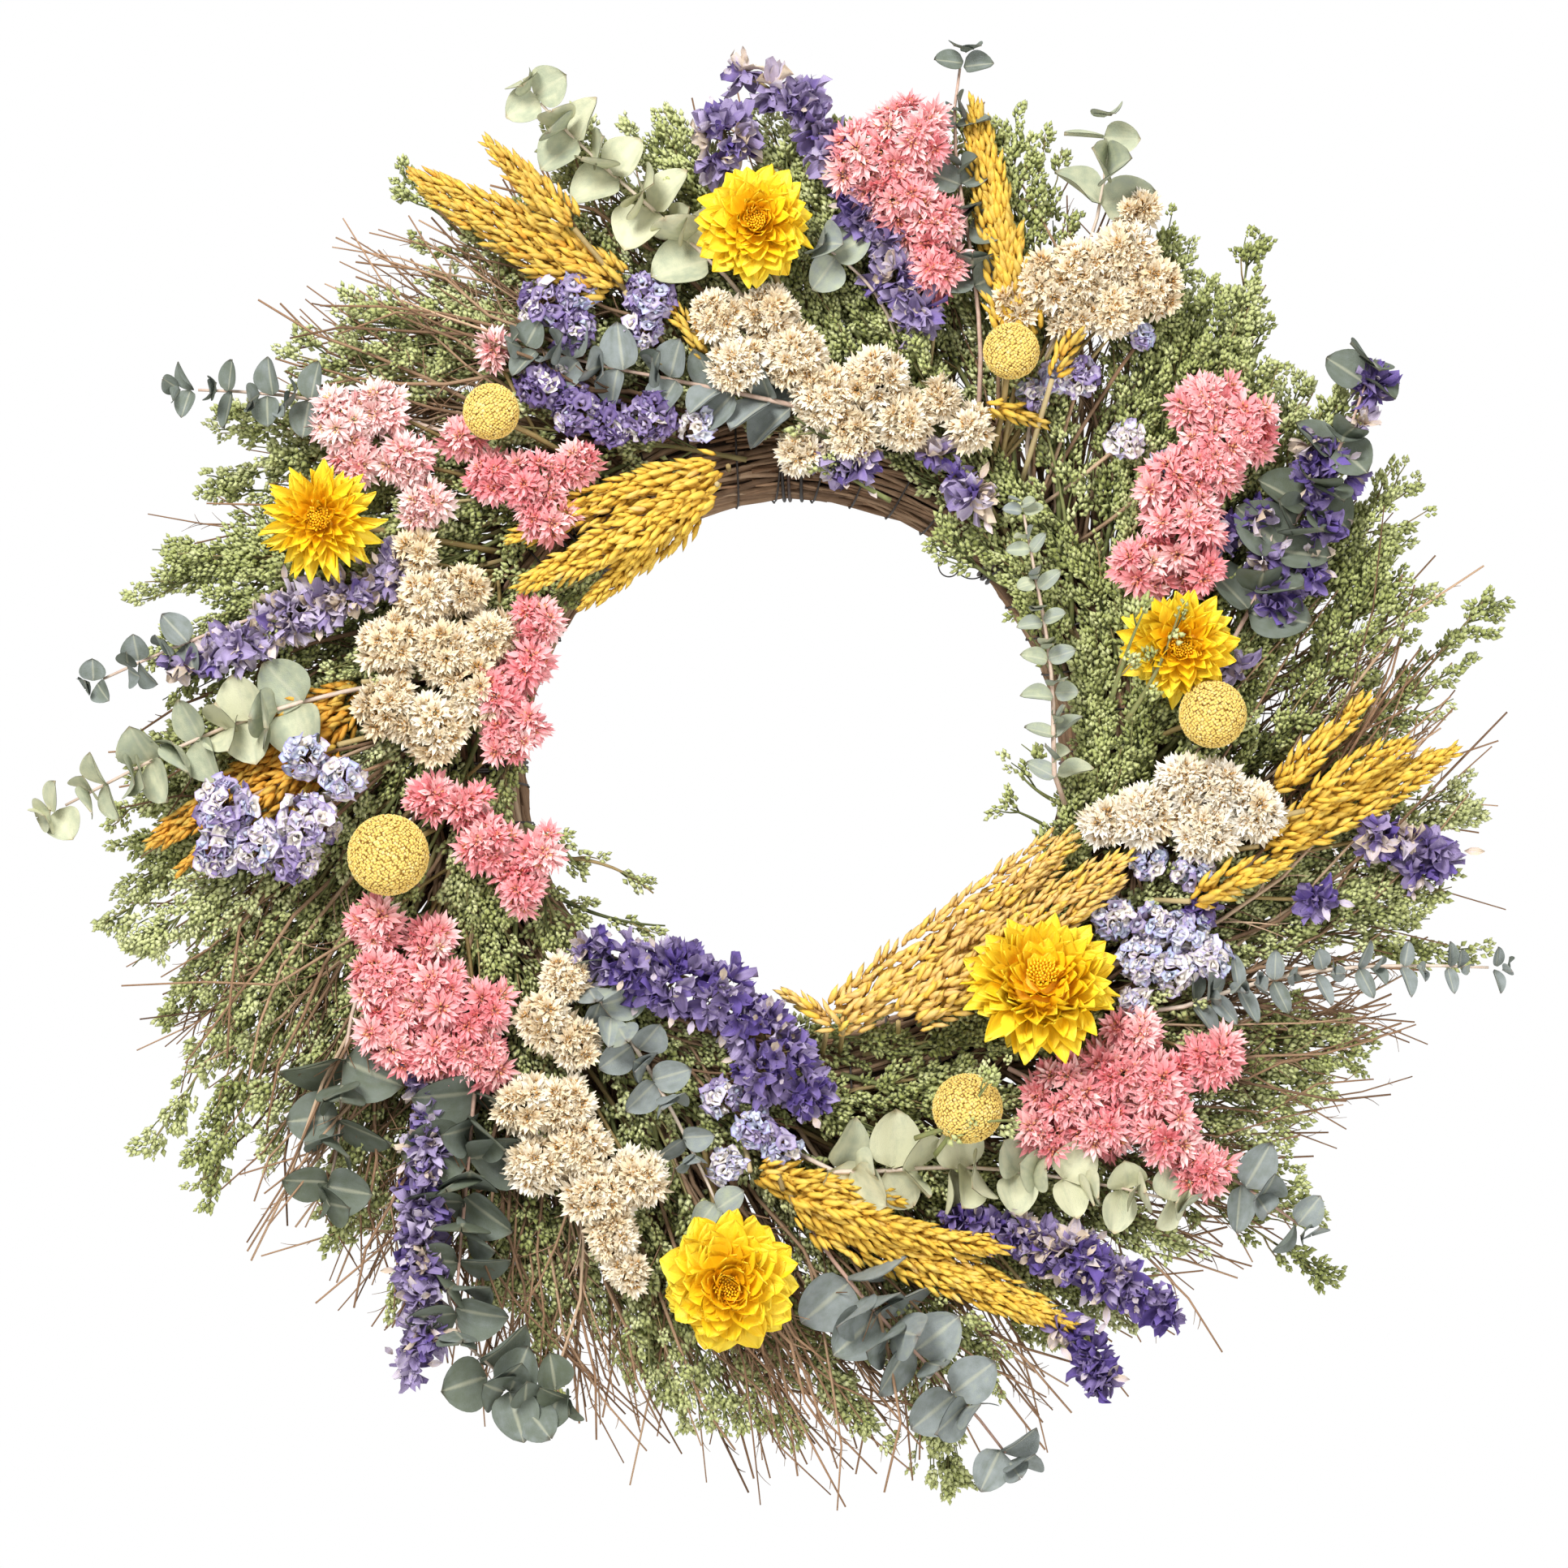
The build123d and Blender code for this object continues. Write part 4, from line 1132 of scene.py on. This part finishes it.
def cluster(node, index, make_head, spacing, inset, tints, size_range, seed, front_pull=0.45,
            spike_stem=False, lift=0.0, pale_share=0.0):
    """Heads on every tuft of a node, with thin stems that run back to the middle of their tuft."""
    rng = np.random.default_rng([seed, index])
    heads = [make_head(rng) for _ in range(5)]
    lobes = [(middle + lift * FRONT, radius) for middle, radius in balls(node)]
    tints = list(np.resize(np.atleast_1d(tints), len(lobes)))
    if spike_stem:
        lobes, tints = between(lobes, tints)
    places, outwards, owners = scatter(lobes, spacing, inset, rng)
    facing = unit(outwards + front_pull * FRONT + rng.normal(0, 0.18, outwards.shape))
    tints = np.array(tints)[owners] + rng.normal(0, 0.15, len(places))
    tints = np.where(rng.uniform(0, 1, len(places)) < pale_share, 0.95, tints)
    sizes = rng.uniform(*size_range, len(places))
    kind = rng.integers(0, len(heads), len(places))
    roll = unit(rng.normal(0, 1, places.shape))
    turns = frames(facing, roll)
    parts = stamp_each(heads, kind, places, turns, sizes, np.clip(tints, 0, 1))
    middles = np.array([middle for middle, _ in lobes])
    radii = np.array([radius for _, radius in lobes])
    hub = middles[owners] - FRONT * (0.55 * radii[owners])[:, None] + rng.normal(0, 1.0, places.shape)
    bow = rng.normal(0, 0.8, places.shape)
    parts.append(tubes(bent(hub, places, bow, 4), 0.4, 3, rng.uniform(0, 1, len(places)), finish=1))
    roots = np.array([ends[0] for ends in stalk_ends(node)])
    nearest = np.linalg.norm(middles[:, None] - roots[None], axis=-1).argmin(1)
    trunk_end = middles - FRONT * (0.45 * radii)[:, None]
    start = roots[nearest]
    if spike_stem:
        gap = np.linalg.norm(np.diff(middles, axis=0), axis=-1)
        follow = np.flatnonzero(gap < spike_gap) + 1
        start = start.copy()
        start[follow] = trunk_end[follow - 1]
    trunks = bent(start, trunk_end, rng.normal(0, 1.5, start.shape), 6)
    parts.append(tubes(trunks, 0.8, 5, rng.uniform(0, 1, len(start)), finish=1))
    if spike_stem:
        bract = sheet(4, 3, lambda u: 0.1 + 0.9 * np.sin(np.pi * u), lambda u, v: 0.3 * u**2 + 0.1 * v**2)
        spots = middles[owners] + outwards * (radii[owners] + rng.uniform(-2, 3, len(owners)))[:, None]
        chosen = rng.uniform(0, 1, len(owners)) < 0.3
        count = chosen.sum()
        facing = unit(outwards[chosen] + rng.normal(0, 0.6, (count, 3)))
        size = rng.uniform(4.0, 7.5, (count, 1)) * [1.0, 0.45, 1.0]
        parts.append(stamp(bract, spots[chosen], frames(facing, FRONT), size, rng.uniform(0.85, 1.0, count)))
    return join(parts)


# Tints of the tufts of each node: one for all of them, or one for each in turn.
pink_tints = [0.45, 0.42, 0.4, 0.42, 0.4, [0.85, 0.85, 0.8, 0.75, 0.8, 0.45, 0.4, 0.4, 0.4, 0.4, 0.7]]
cream_tints = [0.55, 0.42, 0.82, 0.45, 0.5]
statice_tints = [
    [0.25, 0.4, 0.2, 0.3, 0.4, 0.1, 0.1, 0.12, 0.15, 0.9],
    [0.62, 0.6, 0.42, 0.46, 0.36, 0.4, 0.3],
    [0.3, 0.55, 0.45, 0.5, 0.8, 0.9, 0.55, 0.62, 0.62, 0.5, 0.78, 0.62, 0.8, 0.75, 0.95, 0.4, 0.42, 0.5,
     0.8],
]
statice_lifts = [0.0, 9.0, 0.0]  # towards the front
statice_pale = [0.12, 0.4, 0.25]  # the share of pale heads in each node
larkspur_tints = [0.35, 0.68, 0.42, 0.15, [0.2, 0.2, 0.15, 0.12, 0.15, 0.12, 0.12, 0.15, 0.5]]
larkspur_pale = [0.14, 0.2, 0.14, 0.02, 0.12]

make_pieces("pink_daisies", "pink_daisy_heads", 6,
            lambda node, i: cluster(node, i, pink_head, 8.8, 3.2, pink_tints[i], (0.8, 1.2), 81, 0.8),
            [pink_material, straw_material])
make_pieces("cream_daisies", "cream_daisy_heads", 5,
            lambda node, i: cluster(node, i, cream_head, 6.6, 3.4, cream_tints[i], (0.8, 1.2), 82, 0.6),
            [cream_material, straw_material])
make_pieces("statice", "statice_calyxes", 3,
            lambda node, i: cluster(node, i, ruffled_cup, 5.2, 3.4, statice_tints[i], (0.8, 1.15), 83,
                                    lift=statice_lifts[i], pale_share=statice_pale[i]),
            [statice_material, twig_material])
make_pieces("larkspur", "larkspur_florets", 5,
            lambda node, i: cluster(node, i, crumpled_floret, 7.8, 4.6, larkspur_tints[i], (0.7, 1.15), 84,
                                    0.3, spike_stem=True, pale_share=larkspur_pale[i]),
            [larkspur_material, straw_material])


# ---- Floor, light and camera ----
def area_light(name, place, target, size, power):
    lamp = bpy.data.lights.new(name, "AREA")
    lamp.shape = "DISK"
    lamp.size = size
    lamp.energy = power
    obj = bpy.data.objects.new(name, lamp)
    obj.location = place
    obj.rotation_euler = Vector(target - place).to_track_quat("-Z", "Y").to_euler()
    bpy.context.scene.collection.objects.link(obj)


middle = (np.array(cad_low) + np.array(cad_high)) / 2
floor_drop = 0.55
floor_radius = 1.25
floor_mesh = bpy.data.meshes.new("floor")
edge = np.linspace(0, 2 * np.pi, 96, endpoint=False)
floor_points = np.stack([np.cos(edge), np.sin(edge), 0 * edge], -1) * floor_radius
floor_points += [middle[0], 0, middle[2] - floor_drop]
floor_mesh.from_pydata(floor_points.tolist(), [], [list(range(len(edge)))])
floor = bpy.data.objects.new("floor", floor_mesh)
bpy.context.scene.collection.objects.link(floor)
floor_material = bpy.data.materials.new("pale_floor")
floor_material.use_nodes = True
floor_shader = floor_material.node_tree.nodes["Principled BSDF"]
floor_shader.inputs["Base Color"].default_value = tone(244, 243, 240)
floor_shader.inputs["Roughness"].default_value = 0.9
floor_mesh.materials.append(floor_material)

world = bpy.data.worlds.new("studio")
bpy.context.scene.world = world
world.use_nodes = True
nodes = world.node_tree.nodes
backdrop = nodes["Background"]
soft_light = nodes.new("ShaderNodeBackground")
for background, strength in ((backdrop, 1.0), (soft_light, 0.55)):
    background.inputs["Color"].default_value = (1, 1, 1, 1)
    background.inputs["Strength"].default_value = strength
either = nodes.new("ShaderNodeMixShader")
fill(either.inputs["Fac"], nodes.new("ShaderNodeLightPath").outputs["Is Camera Ray"])
fill(either.inputs[1], soft_light.outputs[0])
fill(either.inputs[2], backdrop.outputs[0])
fill(nodes["World Output"].inputs["Surface"], either.outputs[0])

area_light("key", middle + [-0.6, -1.5, 1.1], middle, 0.8, 44.0)
area_light("fill", middle + [1.2, -1.4, 0.2], middle, 1.2, 12.0)
bpy.context.scene.view_settings.view_transform = "Standard"
bpy.context.scene.view_settings.look = "None"

camera_data = bpy.data.cameras.new("camera")
camera_data.lens = 100.0
camera_data.sensor_width = 36.0
camera = bpy.data.objects.new("camera", camera_data)
bpy.context.scene.collection.objects.link(camera)
view_share = 1.0745  # the width in view, as a share of the wreath's
aim_across, aim_depth, aim_up = -0.0036, -0.045, -0.0063  # from the middle of the hole, at the wall
view_width = view_share * (cad_high[0] - cad_low[0])
view_middle = np.array([aim_across, aim_depth, centre_z * MM + aim_up])
camera.location = view_middle + [0, -view_width * camera_data.lens / camera_data.sensor_width, 0]
camera.rotation_euler = (math.pi / 2, 0, 0)
bpy.context.scene.camera = camera

bpy.context.view_layer.update()
